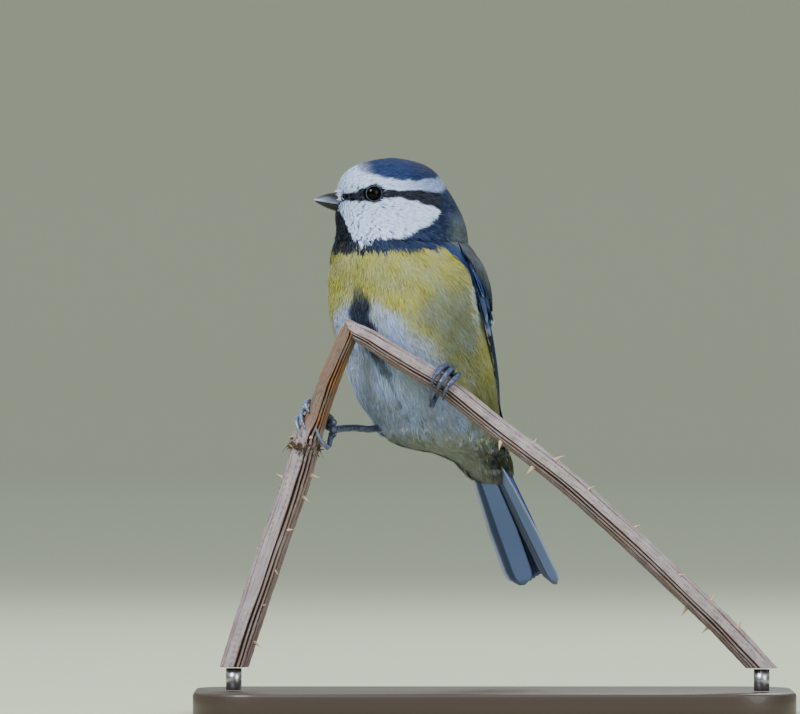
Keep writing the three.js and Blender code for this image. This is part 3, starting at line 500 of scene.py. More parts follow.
def head_colour(p):
    """Markings of the head by distance forward and height from the head's middle."""
    q = p - HEAD_MIDDLE
    side = np.abs(q @ HEAD_LEFT)
    high = q[..., 2] + 0.28 * wander(p, 3.0, 1)
    ahead = q @ HEAD_AHEAD + 0.3 * wander(p, 3.0, 2)
    cap_edge = np.interp(
        ahead, [-14, -9.7, -6.7, -3.9, -0.9, 5, 9, 11.5], [5.3, 4.9, 4.7, 4.1, 4.1, 5.1, 6.7, 9],
    )
    cap_edge = cap_edge + np.clip(3 - side, 0, 3) * edge(ahead, 4, 9) * 0.8
    grey_brow = edge(-ahead, -3, 9) * edge(high, 0.8, 1.4)
    colour = mix(CHEEK, mix(BELLY, CAP, 0.3 + 0.25 * wander(p, 1.2, 14)), grey_brow)
    cap_colour = mix(CAP, mix(CAP, WHITE, 0.6), edge(ahead, 5, 10.5))
    cap_colour = mix(cap_colour, mix(NAVY, CAP, 0.4), edge(-ahead, -1, 8))
    colour = mix(colour, cap_colour, edge(high - cap_edge, -0.4, 0.5))
    stripe_mid = np.interp(
        ahead, [-13, -9.7, -3.8, 2, 6.5, 11, 14.5], [-1.7, -0.7, 0.35, 0.9, 0.9, 0.25, -0.3],
    )
    stripe_half = np.interp(
        ahead, [-13, -9.7, -3.8, 1, 3, 4.5, 7.5, 9.5, 12, 14.5],
        [3.0, 2.0, 1.35, 0.95, 1.05, 2.1, 2.1, 1.4, 1, 0.8],
    )
    colour = mix(colour, STRIPE, edge(stripe_half - np.abs(high - stripe_mid), -0.3, 0.3))
    low_edge = np.interp(
        ahead, [-12, -10.5, -8.2, -3.9, 0.4, 5, 8.2, 9.8, 11.4, 12.4, 13.6],
        [0, -3.2, -6.2, -8.6, -10.4, -10.7, -11.4, -12.9, -11.6, -7, -3],
    )
    below = mix(COLLAR, BIB, edge(ahead, 3, 11))
    below = mix(below, STRIPE, 0.3 + 0.2 * wander(p, 5, 3))
    colour = mix(colour, below, edge(low_edge - high, -0.35, 0.35))
    brow_end = np.interp(high, [0.8, 2.6, 4.6, 6], [9.8, 12.0, 12.6, 11])
    back = edge(-ahead - brow_end, 0, 1.8) * edge(6.4 - high, -0.5, 0.5)
    colour = mix(colour, mix(COLLAR, STRIPE, 0.3), back)
    nape = edge(-ahead, 11.4, 15) * edge(-2.2 - high, 0, 4)
    low = edge(-3.5 - high, 0, 5)
    return mix(colour, mix(mix(MANTLE, BELLY, 0.25), MANTLE, low), nape * (0.6 + 0.4 * low))


def body_colour(p):
    """Markings of neck, breast, belly and back by height and by how far round from the breast's middle, with
    painted shade low on the belly and in dark patches on the vent.
    """
    level = level_at(share_at(p[..., 2]))
    q = p - level[..., CENTRE]
    aside = q @ BODY_LEFT
    round_ = np.degrees(np.arctan2(aside, q @ BODY_AHEAD))
    turn = np.abs(round_) + 5 * wander(p, 9, 4)
    z = p[..., 2] + 0.9 * wander(p, 7, 5)
    colour = mix(YELLOW, PALE_YELLOW, 0.3 + 0.35 * wander(p, 8, 6) - 0.2 * edge(z, 124, 129))
    olive = edge(turn, 35, 75) * edge(122 - z, 0, 8) * (1 - 0.6 * edge(turn, 84, 98))
    colour = mix(colour, OLIVE, 0.5 * olive)
    grey = edge(turn, 42, 62) * edge(98 - turn, 0, 16) * edge(124 - z, 0, 6)
    colour = mix(colour, GREY_FLANK, 0.6 * grey * edge(z, 96, 108))
    belly_turn = np.interp(p[..., 2], [82, 90, 100, 112, 118], [84, 66, 52, 34, 12])
    belly = edge(belly_turn - turn, -14, 10) * edge(119 - z, 0, 6)
    colour = mix(colour, mix(BELLY, PALE_YELLOW, 0.15 + 0.2 * wander(p, 6, 7)), belly)
    colour = mix(colour, mix(OLIVE, RUMP, 0.5), 0.55 * edge(104 - z, 0, 14) * edge(turn, 62, 84))
    half = np.interp(p[..., 2], [95, 99, 106, 112, 117, 120, 124], [0, 1.6, 2.8, 3.9, 3.3, 1.2, 0])
    half = half + 0.6 * wander(p, 4, 8)
    lean = np.interp(p[..., 2], [95, 103, 112], [4.6, 3.0, 0])
    stripe = edge(half - np.abs(aside - lean), -0.6, 0.9) * (np.abs(round_) < 90)
    stripe = stripe * np.interp(p[..., 2], [95, 108, 117, 121], [0.6, 1.0, 0.97, 0.5])
    colour = mix(colour, mix(NAVY, BIB, 0.5), stripe)
    # Painted shade: colours darken by up to a quarter towards the bottom of the belly.
    colour = colour * (1 - 0.25 * edge(100 - z, 0, 12) * (turn < 120))[..., None]
    vent = mix(VENT, mix(BELLY, WHITE, 0.2), 0.5 * edge(wander(p, 2.5, 12), -0.2, 0.8))
    # Painted shade: random patches of half-dark olive stand for the shade among the loose vent feathers.
    vent = mix(vent, OLIVE * 0.5, 0.5 * edge(wander(p, 3.5, 13), 0.1, 0.9))
    colour = mix(colour, vent, 0.85 * edge(86 - z, 0, 5) * (turn < 130))
    shoulder = 180 - np.interp(p[..., 2], [118, 121, 124, 128, 131, 134], [80, 86, 89, 92, 97, 99])
    colour = mix(colour, COVERT, edge(turn - shoulder, -2, 2) * edge(p[..., 2], 116, 118))
    back = np.where(p[..., 2] > 118, edge(turn, 102, 108), edge(turn, 112, 128))
    colour = mix(colour, mix(MANTLE, RUMP, edge(100 - z, 0, 12)), back)
    return mix(colour, COVERT_PALE, edge(77 - p[..., 2], 0, 4) * (turn < 120))


def plumage_colour(p):
    """Colour of the plumage: the head's markings down to the lower edge of the collar, then the body's."""
    ahead = (p - HEAD_MIDDLE) @ HEAD_AHEAD
    collar = np.interp(ahead, [-12, -5, 0, 4.7, 9.7, 14.5], [130.2, 129.5, 129.3, 129.3, 128.8, 128.9])
    collar = collar + 0.5 * wander(p, 3, 9) + 0.2 * wander(p, 1.2, 10)
    return mix(body_colour(p), head_colour(p), edge(p[..., 2] - collar, -0.4, 0.4))


# Feathers.
def lie(p, normal):
    """The way feathers lie: back from the bill on the head, down the body, and out along the tail."""
    from_bill = unit(p - (BILL_BASE + np.array([2.0, 0.4, 0.5])))
    flank = edge(normal @ BODY_AHEAD, -0.5, 0.1) * edge(p[..., 2], 84, 92) * edge(132 - p[..., 2], 0, 8)
    down = unit(unit(np.array([0.16, 0.2, -1.0])) - 0.5 * flank[..., None] * BODY_AHEAD)
    head = edge(p[..., 2], 129, 137)[..., None]
    tail = edge(86 - p[..., 2], 0, 8)[..., None]
    way = from_bill * head + (down * (1 - tail) + TAIL_WAY * tail) * (1 - head)
    return square_to(way, normal)


def grid_tree(place, along, around):
    """A search tree over a bent grid, for laying feathers along it."""
    u, v = np.meshgrid(np.linspace(0, 1, along + 1), np.linspace(0, 1, around + 1), indexing="ij")
    points = place(u.ravel(), v.ravel())
    at = np.arange(len(points)).reshape(u.shape)
    quads = np.stack([at[:-1, :-1], at[1:, :-1], at[1:, 1:], at[:-1, 1:]], -1).reshape(-1, 4)
    return BVHTree.FromPolygons(points.tolist(), quads.tolist())


def laid(tree, points, rise, normals):
    """Points moved to a height over the nearest place of a surface."""
    flat = points.reshape(-1, 3)
    near = np.empty_like(flat)
    out = np.empty_like(flat)
    for i, q in enumerate(flat.tolist()):
        near[i], out[i] = tree.find_nearest(q)[:2]
    near, out = near.reshape(points.shape), out.reshape(points.shape)
    out = out * np.sign((out * normals[:, None]).sum(-1, keepdims=True))
    return near + out * rise[..., None]


def fans(
    name, roots, normals, ways, length, depth, width, barbs, spread, paint, uv, material, tree, seed,
    streak=None, clear=(), root_shade=0.7,
):
    """Feathers as fans of tapered barbs, as one mesh, from a row or one value for all the feathers.

    The barbs lie along the tree's surface, if any, and those that would reach over an eye are left out.
    """
    rng = np.random.default_rng(seed)
    n = len(roots)
    length, depth, width, spread = (np.broadcast_to(q, n) for q in (length, depth, width, spread))
    uv = np.broadcast_to(uv, (n, 2))
    k = np.linspace(-1, 1, barbs)[None, :] + rng.normal(0, 0.1, (n, barbs))
    turn = np.radians(spread)[:, None] * k + rng.normal(0, 0.05, (n, barbs))
    sides = np.cross(normals, ways)
    run = length[:, None] * (1 - 0.22 * k**2) * (1 + rng.normal(0, 0.09, (n, barbs)))
    jitter = rng.normal(0, 0.12, (n, barbs))
    rows = []
    for share, wide, lift in ((0, 0.7, 0), (0.36, 1, 0.72), (0.72, 0.75, 1), (1, 0, 1)):
        bend = turn * (1 - 0.3 * share)
        x = (run * share)[..., None]
        rise = depth[:, None] * (lift + jitter * share)
        p = roots[:, None] + x * circle(ways[:, None], sides[:, None], bend) - normals[:, None] * x**2 / 34
        if tree:
            p = laid(tree, p, np.maximum(rise, 0.03), normals)
        else:
            p = p + normals[:, None] * rise[..., None]
        across = circle(sides[:, None], -ways[:, None], bend)
        half = (width[:, None] * wide * 0.5)[..., None]
        rows += [p - across * half, p + across * half] if wide else [p]
    points = np.stack(rows, 2)
    middle = (points[:, :, 4] + points[:, :, 5]) / 2
    colour = paint(middle)
    tone = (1 + rng.normal(0, 0.05, (n, 1)) + rng.normal(0, 0.05, (n, barbs)))[..., None]
    shade = np.interp([0, 0, 1, 1, 2, 2, 3], [0, 1, 2, 3], [root_shade, 0.7 + 0.3 * root_shade, 1.0, 1.06])
    shade = shade[None, None, :, None]
    if streak is not None:
        colour = mix(colour, streak(middle, colour), np.clip(rng.normal(0.14, 0.3, (n, barbs)), 0, 0.8))
    colours = np.clip(colour[:, :, None] * tone[:, :, None] * shade, 0, 0.95)
    kept = np.ones((n, barbs), bool)
    for centre, way, radius in clear:
        off = points - centre
        beside = np.linalg.norm(off - way * (off @ way)[..., None], axis=-1)
        kept &= ~((beside < radius) & (off @ way > 0)).any(-1)
    count = int(kept.sum())
    base = (np.arange(count) * 7)[:, None]
    quads = np.concatenate([base + [0, 1, 3, 2], base + [2, 3, 5, 4]])
    tips = base + [4, 5, 6]
    patch = np.array([[-1, -1], [1, -1], [-1, -0.3], [1, -0.3], [-1, 0.4], [1, 0.4], [0, 1]]) * 0.0015
    spots = (uv[:, None, None] + patch[None, None]) + 0 * points[..., :2]
    mesh = array_mesh(name, points[kept].reshape(-1, 3), [quads, tips], spots[kept].reshape(-1, 2))
    colour_points(mesh, colours[kept].reshape(-1, 3))
    return linked(name, mesh, material)


def spread_roots(count, low, high, seed):
    """Evenly spread places on the plumage between two shares of the way down, as shares and turns."""
    rng = np.random.default_rng(seed)
    u = np.linspace(low, high, 400)
    level = level_at(u)
    girth = level[:, 3] + level[:, 4]
    total = np.concatenate([[0], np.cumsum((girth[1:] + girth[:-1]) / 2)])
    i = np.arange(count)
    share = np.interp((i + 0.5) / count * total[-1], total, u)
    turn = (i * GOLDEN_ANGLE + rng.normal(0, 2.0, count)) % 360
    return share, turn


def vane(middle, normal, outward, half, shape, curl, rows, columns):
    """One feather's blade: rows along the middle line, columns across, curled down at its edges."""
    share = np.linspace(0, 1, rows + 1)
    across = np.linspace(-1, 1, columns + 1)
    reach = np.interp(share, *zip(*shape))[:, None] * half * across[None, :]
    drop = curl * (reach / half) ** 2 * half
    return middle[:, None] + outward[:, None] * reach[..., None] - normal[:, None] * drop[..., None]


def vane_faces(count, rows, columns):
    at = np.arange((rows + 1) * (columns + 1)).reshape(rows + 1, columns + 1)
    quads = np.stack([at[:-1, :-1], at[:-1, 1:], at[1:, 1:], at[1:, :-1]], -1).reshape(-1, 4)
    size = (rows + 1) * (columns + 1)
    return [(np.arange(count)[:, None, None] * size + quads[None]).reshape(-1, 4)]


def vanes_object(name, blades, colours, rows, columns, material):
    """Blades joined as one piece, each with its own UV strip, and given a little thickness."""
    points = np.stack(blades)
    mesh = array_mesh(name, points.reshape(-1, 3), vane_faces(len(blades), rows, columns))
    u, v = np.meshgrid(np.linspace(0, 1, columns + 1), np.linspace(0, 1, rows + 1))
    spots = np.tile(np.stack([u, v], -1).reshape(-1, 2), (len(blades), 1))[corner_vertices(mesh)]
    mesh.uv_layers.new(name="Vane").data.foreach_set("uv", spots.astype(np.float32).ravel())
    colour_points(mesh, np.stack(colours).reshape(-1, 3))
    made = linked(name, mesh, material)
    thicken(made, VANE_THICKNESS)
    return made


def vane_colour(rows, columns, outer, inner, fringe, tip, rachis, fringe_width, tip_width, shaft=0.0):
    """Colours over one blade: outer web, inner web, shaft, fringe of the outer edge, and tip. The fringe is
    pale, but dark as painted shade on the tail's inner pairs.
    """
    v = np.linspace(0, 1, rows + 1)[:, None]
    u = np.linspace(-1, 1, columns + 1)[None, :]
    base = mix(inner, outer, edge(u, shaft - 0.05, shaft + 0.05) + 0 * v)
    base = mix(base, fringe, edge(u, 1 - fringe_width * 2, 1 - fringe_width) * edge(1 - v, 0, 0.03) + 0 * v)
    base = mix(base, tip, edge(v, 1 - tip_width - 0.03, 1 - tip_width) + 0 * u)
    return mix(base, rachis, 0.75 * edge(0.09 - np.abs(u - shaft), 0, 0.05) + 0 * v)


def wing_blade(side, spec):
    """A folded wing's feather on its bed, from (z, angle, rise) at the root and at the tip."""
    s = np.linspace(0, 1, WING_GRID[0] + 1)
    (z0, a0, r0), (z1, a1, r1) = spec["root"], spec["tip"]

    def middle(t):
        angle = a0 + (a1 - a0) * t + spec["bow"] * np.sin(np.pi * t)
        return on_wing(side, z0 + (z1 - z0) * t, angle, r0 + (r1 - r0) * t)

    p = middle(s)
    along = unit(middle(s + 0.03) - middle(s - 0.03))
    z, a = z0 + (z1 - z0) * s, a0 + (a1 - a0) * s
    down = bed_place(side, z - 0.5, a, 0) - bed_place(side, z + 0.5, a, 0)
    round_ = bed_place(side, z, a + 1, 0) - bed_place(side, z, a - 1, 0)
    normal = square_to(unit(np.cross(down, round_) * side), along)
    outward = unit(np.cross(normal, along) * -side)
    tilt = np.arctan(spec["slope"])
    outward, normal = circle(outward, normal, tilt), circle(normal, -outward, tilt)
    return vane(p, normal, outward, spec["half"], WING_OUTLINE, 0.12, *WING_GRID)


def wing_row(count, root_z, tip_z, root_rise, tip_rise, low, high, half):
    """One row of coverts between two shares of the way from the wing's back edge to its front edge."""
    rows = []
    for i in range(count):
        share = low + (high - low) * (i + 0.5) / count
        up = 1.6 * share
        rows.append({
            "root": (root_z + up, wing_angle(root_z, share), root_rise),
            "tip": (tip_z + up, wing_angle(tip_z, share), tip_rise),
            "half": half, "slope": 0.32, "bow": 0,
        })
    return rows


def flight_rows():
    """Tertials, secondaries and primaries of the folded wing, from the back edge to the front."""
    tertials, secondaries, primaries = 3, 6, 9
    count = tertials + secondaries + primaries
    root_z = 117
    rows = []
    for i in range(count):
        share = (i + 0.5) / count
        primary = i - tertials - secondaries
        if i < tertials:
            tip_z, kind, half, slope = 99.5 - 3.2 * i, "tertial", 2.5, 0.4
        elif primary < 0:
            tip_z, kind, half, slope = 91.6 - 0.7 * (i - tertials), "secondary", 2.1, 0.5
        else:
            drop = 9.4 * math.sin(math.pi / 2 * min(1, (primary + 1) / 7))
            tip_z, kind, half, slope = 86.4 - drop + max(0, primary - 6) * 3, "primary", 1.9, 0.56
        root_angle, tip_angle = (wing_angle(z, share, (6, 2.5)) for z in (root_z, tip_z))
        rows.append({
            "root": (root_z, root_angle, 1.9), "tip": (tip_z, tip_angle, 2.2 if kind == "tertial" else 1.9),
            "half": half, "slope": slope, "bow": 1.5, "kind": kind,
        })
    return rows


def tube_place(rows, ridges):
    """A round body along rows of x, y, z and radius, as place(u along, v around)."""
    def place(u, v):
        row = smooth_rows(rows, u)
        ahead = smooth_rows(rows, np.minimum(u + 0.004, 1)) - smooth_rows(rows, np.maximum(u - 0.004, 0))
        along = unit(ahead[:, :3])
        towards = square_to(TO_VIEWER, along)
        radius = row[:, 3] + ridges(u, v, row)
        radius = radius * np.clip(np.minimum(u, 1 - u) * 400, 0, 1) ** 0.5
        return row[:, :3] + radius[:, None] * circle(towards, np.cross(along, towards), 2 * np.pi * v)
    return place


def groove_share(turn, u, grooves, phase):
    """How deep in a lengthwise groove a place of the bark lies, and how near the brown lip beside one."""
    turn = (turn + 2.5 * np.sin(u * 21 + phase[0]) + 1.2 * np.sin(u * 67 + phase[1]) + 180) % 360 - 180
    deep, lip = np.zeros_like(turn), np.zeros_like(turn)
    for i, (at, wide, share) in enumerate(grooves):
        off = (turn - at + 180) % 360 - 180
        wide = wide * (1 + 0.35 * np.sin(u * 33 + phase[i % 8]))
        deep = np.maximum(deep, share * np.clip(1 - np.abs(off) / wide, 0, 1) ** 0.7)
        lip = np.maximum(lip, share * np.clip(1 - np.abs(np.abs(off) - wide * 1.3) / wide, 0, 1))
    return deep, lip


def furrows(grooves, phase):
    """Lengthwise grooves and ridges of dry bramble bark, as a rise over the stem's radius."""
    def rise(u, v, row):
        turn = 360 * v
        deep, lip = groove_share(turn, u, grooves, phase)
        fine = 0.5 * np.sin(np.radians(22 * turn) + 2.2 * np.sin(u * 31 + phase[2]))
        fine += 0.4 * np.sin(np.radians(41 * turn) + 3 * np.sin(u * 47 + phase[3]))
        rough = np.sin(u * 260 + np.radians(3 * turn) + phase[4]) * np.sin(u * 117 + phase[5])
        flat = 0.05 * np.cos(np.radians(5 * turn) + phase[6])
        return row[:, 3] * (0.06 - 0.25 * deep + 0.05 * lip + 0.028 * fine + 0.014 * rough + flat)
    return rise


def cut_off(made, place, way):
    """Trims a piece at a plane, off the side that the way points to, leaving a flat end."""
    shell = bmesh.new()
    shell.from_mesh(made.data)
    whole = shell.verts[:] + shell.edges[:] + shell.faces[:]
    found = bmesh.ops.bisect_plane(shell, geom=whole, plane_co=place, plane_no=way, clear_outer=True)
    rim = [e for e in found["geom_cut"] if isinstance(e, bmesh.types.BMEdge)]
    bmesh.ops.contextual_create(shell, geom=rim)
    bmesh.ops.recalc_face_normals(shell, faces=shell.faces)
    shell.to_mesh(made.data)
    shell.free()


def surface_places(mesh):
    """Each vertex's place along and around, read from the mesh's own UV map."""
    flat = np.zeros(len(mesh.loops) * 2)
    mesh.uv_layers["Surface"].data.foreach_get("uv", flat)
    places = np.zeros((len(mesh.vertices), 2))
    places[corner_vertices(mesh)] = flat.reshape(-1, 2)
    return places


def add_spike(shell, row, ahead, turn, length, radius, hook, sides=8):
    """A curved spike on a round stem: its foot in the bark and its tip hooked along the stem."""
    towards = square_to(TO_VIEWER, ahead)
    out = circle(towards, np.cross(ahead, towards), turn)
    across = np.cross(ahead, out)
    rings = []
    for share in (0, 0.2, 0.45, 0.72, 1):
        centre = row[:3] + out * (row[3] * 0.8 + length * share) + ahead * hook * length * share**2
        wide = radius * (1 - share) ** 1.3 + 0.03
        around = [2 * math.pi * k / sides for k in range(sides)]
        ring = [centre + ahead * (1.6 * wide * math.cos(a)) + across * (wide * math.sin(a)) for a in around]
        rings.append([shell.verts.new(world(q)) for q in ring])
    for low, high in zip(rings, rings[1:]):
        for k in range(sides):
            shell.faces.new((low[k], low[(k + 1) % sides], high[(k + 1) % sides], high[k]))
    shell.faces.new(rings[0])
    shell.faces.new(rings[-1])


# Sizes and colours that a user would change.
class TitPlumage(bpy.types.PropertyGroup):
    body_feathers: IntProperty(
        name="Body feathers", description="Small feathers over neck and body", default=8400, min=500,
    )
    head_feathers: IntProperty(
        name="Head feathers", description="Small feathers over the head", default=4600, min=500,
    )
    body_length: FloatProperty(
        name="Body feather length", description="Length of a breast feather", default=0.0062,
        subtype="DISTANCE", unit="LENGTH",
    )
    head_length: FloatProperty(
        name="Head feather length", description="Length of a cheek feather", default=0.0026,
        subtype="DISTANCE", unit="LENGTH",
    )
    coat_depth: FloatProperty(
        name="Coat depth", description="Depth of the body's feathers over the skin", default=0.0013,
        subtype="DISTANCE", unit="LENGTH",
    )


class TitStem(bpy.types.PropertyGroup):
    bark: FloatVectorProperty(
        name="Bark", description="Colour of the dry bark", subtype="COLOR", default=tuple(linear(0x91858A)),
    )
    # The groove colour is painted shade deep in the bark's grooves.
    groove: FloatVectorProperty(
        name="Groove", description="Colour deep in the bark's grooves", subtype="COLOR",
        default=tuple(linear(0x2E2422)),
    )
    prickles: IntProperty(name="Prickles", description="Prickles on each arm", default=42, min=0)


class TitStand(bpy.types.PropertyGroup):
    wood: FloatVectorProperty(
        name="Base", description="Colour of the stained base", subtype="COLOR",
        default=tuple(linear(0x3A2C24)),
    )
    floor: FloatVectorProperty(
        name="Backdrop", description="Colour of floor and backdrop", subtype="COLOR",
        default=tuple(linear(0xBBBFA6)),
    )
    distance: FloatProperty(
        name="Camera distance", description="How far the camera stands from the bird", default=3.0,
        unit="LENGTH",
    )


def bill_frame():
    """The bill's way, the way up from it, and its length."""
    ahead = BILL_TIP - BILL_BASE
    length = np.linalg.norm(ahead)
    up = unit(np.cross(ahead, HEAD_LEFT))
    return ahead / length, up * np.sign(up[2]), length


def eye_rooms():
    """Centre, outward way and radius of the room that feathers leave round each eye."""
    rooms = []
    for name, way in (("eye_left", 1), ("eye_right", -1)):
        low, high = (np.array(c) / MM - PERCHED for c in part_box(name))
        rooms.append(((low + high) / 2, HEAD_LEFT * way, EYE_ROOM))
    return rooms


class TIT_OT_skin(bpy.types.Operator):
    """Make the skin under the feathers, in place of head, neck and torso"""
    bl_idname = "tit.skin"
    bl_label = "Skin"

    def execute(self, context):
        under = sunk(body_place)
        mesh = bent_grid("tit_skin", along=220, around=150, place=lambda u, v: under(u, 360 * v))
        # The skin takes the plumage's colours darkened to three quarters: painted shade deep between the
        # feathers.
        colour_points(mesh, plumage_colour(perch_places(mesh)) * 0.75)
        material = finish("skin_under_feathers", roughness=0.9, attribute=True, specular=0.2)
        finish_piece(linked("tit_skin", mesh, material), ["head", "neck", "torso"])
        return {"FINISHED"}


class TIT_OT_coat(bpy.types.Operator):
    """Lay the small feathers of head, neck, body and tail coverts"""
    bl_idname = "tit.coat"
    bl_label = "Feather coat"

    def execute(self, context):
        sizes = context.scene.tit_plumage
        plumage = finish("small_feathers", roughness=0.8, attribute=True, specular=0.2)
        neck, breast_end, belly_end = (share_at(z) for z in (NECK_TOP, BREAST_END, BELLY_END))
        under = sunk(whole_place)
        tree = grid_tree(lambda u, v: under(u, 360 * v), 240, 150)
        third = sizes.body_feathers // 3
        head = (sizes.head_length / MM, 8, 24, 0.17)
        body = (sizes.body_length / MM, 12, 24, 0.24)
        parts = [
            ("coat_head", sizes.head_feathers, 0.002, neck, head, 3, "plumage_head"),
            ("coat_breast", third, neck, breast_end, body, 4, "plumage_body"),
            ("coat_belly", third, breast_end, belly_end, body, 5, "plumage_body"),
            ("coat_vent", third, belly_end, 0.985, body, 6, "plumage_body"),
        ]
        for name, count, low, high, (length, barbs, spread, width), seed, slot in parts:
            share, turn = spread_roots(count, low, high, seed)
            z = level_at(share)[:, 0]
            keep = (bed_depth(z, from_back(turn)) < 1.6) | (z < 84)
            share, turn, z = share[keep], turn[keep], z[keep]
            p, normal, way = self.roots(share, turn, seed)
            from_bill = np.linalg.norm(p - BILL_BASE, axis=-1)
            on_head = z > 133
            grown = np.interp(from_bill, [1, 6, 14, 22], [0.45, 0.7, 1.0, 1.3])
            long = length * np.where(on_head, grown, 1.0)
            long = long * np.interp(z, [71, 76, 84, 92, 128, 134, 153], [0.8, 1.1, 1.25, 1, 0.9, 0.8, 1])
            thin = width * np.where(on_head, np.interp(from_bill, [1, 8], [0.7, 1.0]), 1.0)
            loose = np.interp(z, [74, 80, 90], [1.1, 1.4, 1.0])
            deep = coat_depth(share) * 1.05 * loose
            coat = fans(
                name, p, normal, way, long, deep, thin, barbs, spread * loose**0.4, plumage_colour,
                self.bake_spots(turn, share), plumage, tree, seed, self.streak, eye_rooms(),
                root_shade=0.84 if name == "coat_head" else 0.7,
            )
            finish_piece(coat, [])
        self.fringe(tree, plumage)
        self.bristles(plumage)
        self.trousers(plumage)
        self.vent_fluff(plumage)
        return {"FINISHED"}

    def bristles(self, material):
        """Short feathers that reach forward over the bill's root: white above, dark on the chin."""
        rng = np.random.default_rng(80)
        n = 130
        ahead, up, _ = bill_frame()
        turn = rng.uniform(0, 2 * np.pi, n)
        out = circle(HEAD_LEFT, up, turn)
        roots = BILL_BASE + out * (2.0 + 0.5 * np.sin(turn) + rng.uniform(-0.2, 0.5, n))[:, None]
        roots = roots - ahead * rng.uniform(0.6, 1.6, n)[:, None]
        ways = unit(ahead + out * rng.uniform(-0.1, 0.3, n)[:, None] + rng.normal(0, 0.12, (n, 3)))
        made = fans(
            "face_bristles", roots, square_to(out, ways), ways, length=rng.uniform(1.2, 2.3, n), depth=0.1,
            width=0.13, barbs=4, spread=22.0, uv=(0.5, 0.5), material=material, tree=None, seed=81,
            paint=lambda q: mix(BIB, WHITE, edge((q - BILL_BASE) @ up, -0.5, 0.6)),
        )
        finish_piece(made, [])

    def trousers(self, material):
        """Loose pale feathers round the top of each leg."""
        rng = np.random.default_rng(82)
        n = 150
        for word, top, foot in TROUSERS:
            down = unit(np.subtract(foot, top))
            side = unit(np.cross(down, UPWARDS))
            out = circle(side, np.cross(side, down), rng.uniform(0, 2 * np.pi, n))
            roots = top + out * rng.uniform(0.8, 2.3, n)[:, None] - down * rng.uniform(0, 2, n)[:, None]
            ways = unit(down + out * rng.uniform(-0.35, 0.25, n)[:, None] + rng.normal(0, 0.12, (n, 3)))
            made = fans(
                f"leg_feathers_{word}", roots, square_to(out, ways), ways, length=rng.uniform(2.5, 4.5, n),
                depth=0.25, width=0.2, barbs=8, spread=24.0, uv=(0.5, 0.5), material=material, tree=None,
                seed=84, paint=lambda q: mix(BELLY, WHITE, 0.5 + 0.5 * wander(q, 3, 83)) * 0.8,
                streak=self.streak,
            )
            finish_piece(made, [])

    def vent_fluff(self, material):
        """Loose pale feathers that stand a little off the lower belly and the vent."""
        rng = np.random.default_rng(85)
        n = 340
        share = share_at(rng.uniform(75, 93, n))
        turn = rng.uniform(-100, 100, n)
        p, normal, way = self.roots(share, turn, 86)
        ways = unit(way + 0.42 * normal)
        made = fans(
            "vent_fluff", p, square_to(normal, ways), ways, length=rng.uniform(2.4, 3.8, n), depth=0.9,
            width=0.14, barbs=9, spread=32.0, uv=self.bake_spots(turn, share), material=material, tree=None,
            seed=88, paint=lambda q: mix(plumage_colour(q), WHITE, 0.12 + 0.1 * wander(q, 2, 87)),
            streak=self.streak,
        )
        finish_piece(made, [])

    @staticmethod
    def bake_spots(turn, share):
        """Each feather's place on the plumage's own bake map."""
        return np.stack([turn / 360 % 1, share], -1) * 0.98 + 0.01

    @staticmethod
    def roots(share, turn, seed, away=0.0):
        """Roots on the skin with their normals and the way each feather lies."""
        rng = np.random.default_rng(seed)
        p, normal, _, _ = surface_frame(sunk(whole_place), share, turn)
        way = lie(p, normal) + rng.normal(0, 0.06, p.shape) + away
        return p, normal, square_to(way, normal)

    @staticmethod
    def streak(p, colour):
        """The colour that single barbs take between the others: greyer on the body, a shade off elsewhere."""
        light = edge(colour @ [0.25, 0.6, 0.15], 0.03, 0.08)
        off = mix(mix(colour, BELLY, 0.12), colour * [0.56, 0.62, 0.74], light)
        body = edge(131 - p[..., 2], 0, 1.5) * light
        return mix(off, mix(OLIVE, BELLY, 0.3 + 0.5 * wander(p, 9, 60)), 0.5 * body)

    def fringe(self, tree, material):
        """Long pale flank feathers that lap over the front edge of each wing."""
        for side, word in ((1, "left"), (-1, "right")):
            rng = np.random.default_rng(70 + side)
            n = 420
            z = 124 - 44 * (np.arange(n) + 0.5) / n
            share = share_at(z)
            turn = side * (180 - wing_angle(z, 1) - rng.uniform(-1, 9, n))
            p, normal, way = self.roots(share, turn, 71, BODY_AHEAD * -0.22)

            def paint(q):
                pale = mix(WHITE, PALE_YELLOW, 0.3 + 0.3 * wander(q, 5, 72))
                return mix(plumage_colour(q), pale, 0.6 * edge(q[..., 2], 105, 117))

            coat = fans(
                f"flank_fringe_{word}", p, normal, way, length=rng.uniform(6.0, 8.0, n),
                depth=coat_depth(share) * 1.15, width=0.2, barbs=12, spread=20.0, paint=paint,
                uv=self.bake_spots(turn, share), material=material, tree=tree, seed=73, streak=self.streak,
            )
            finish_piece(coat, [])


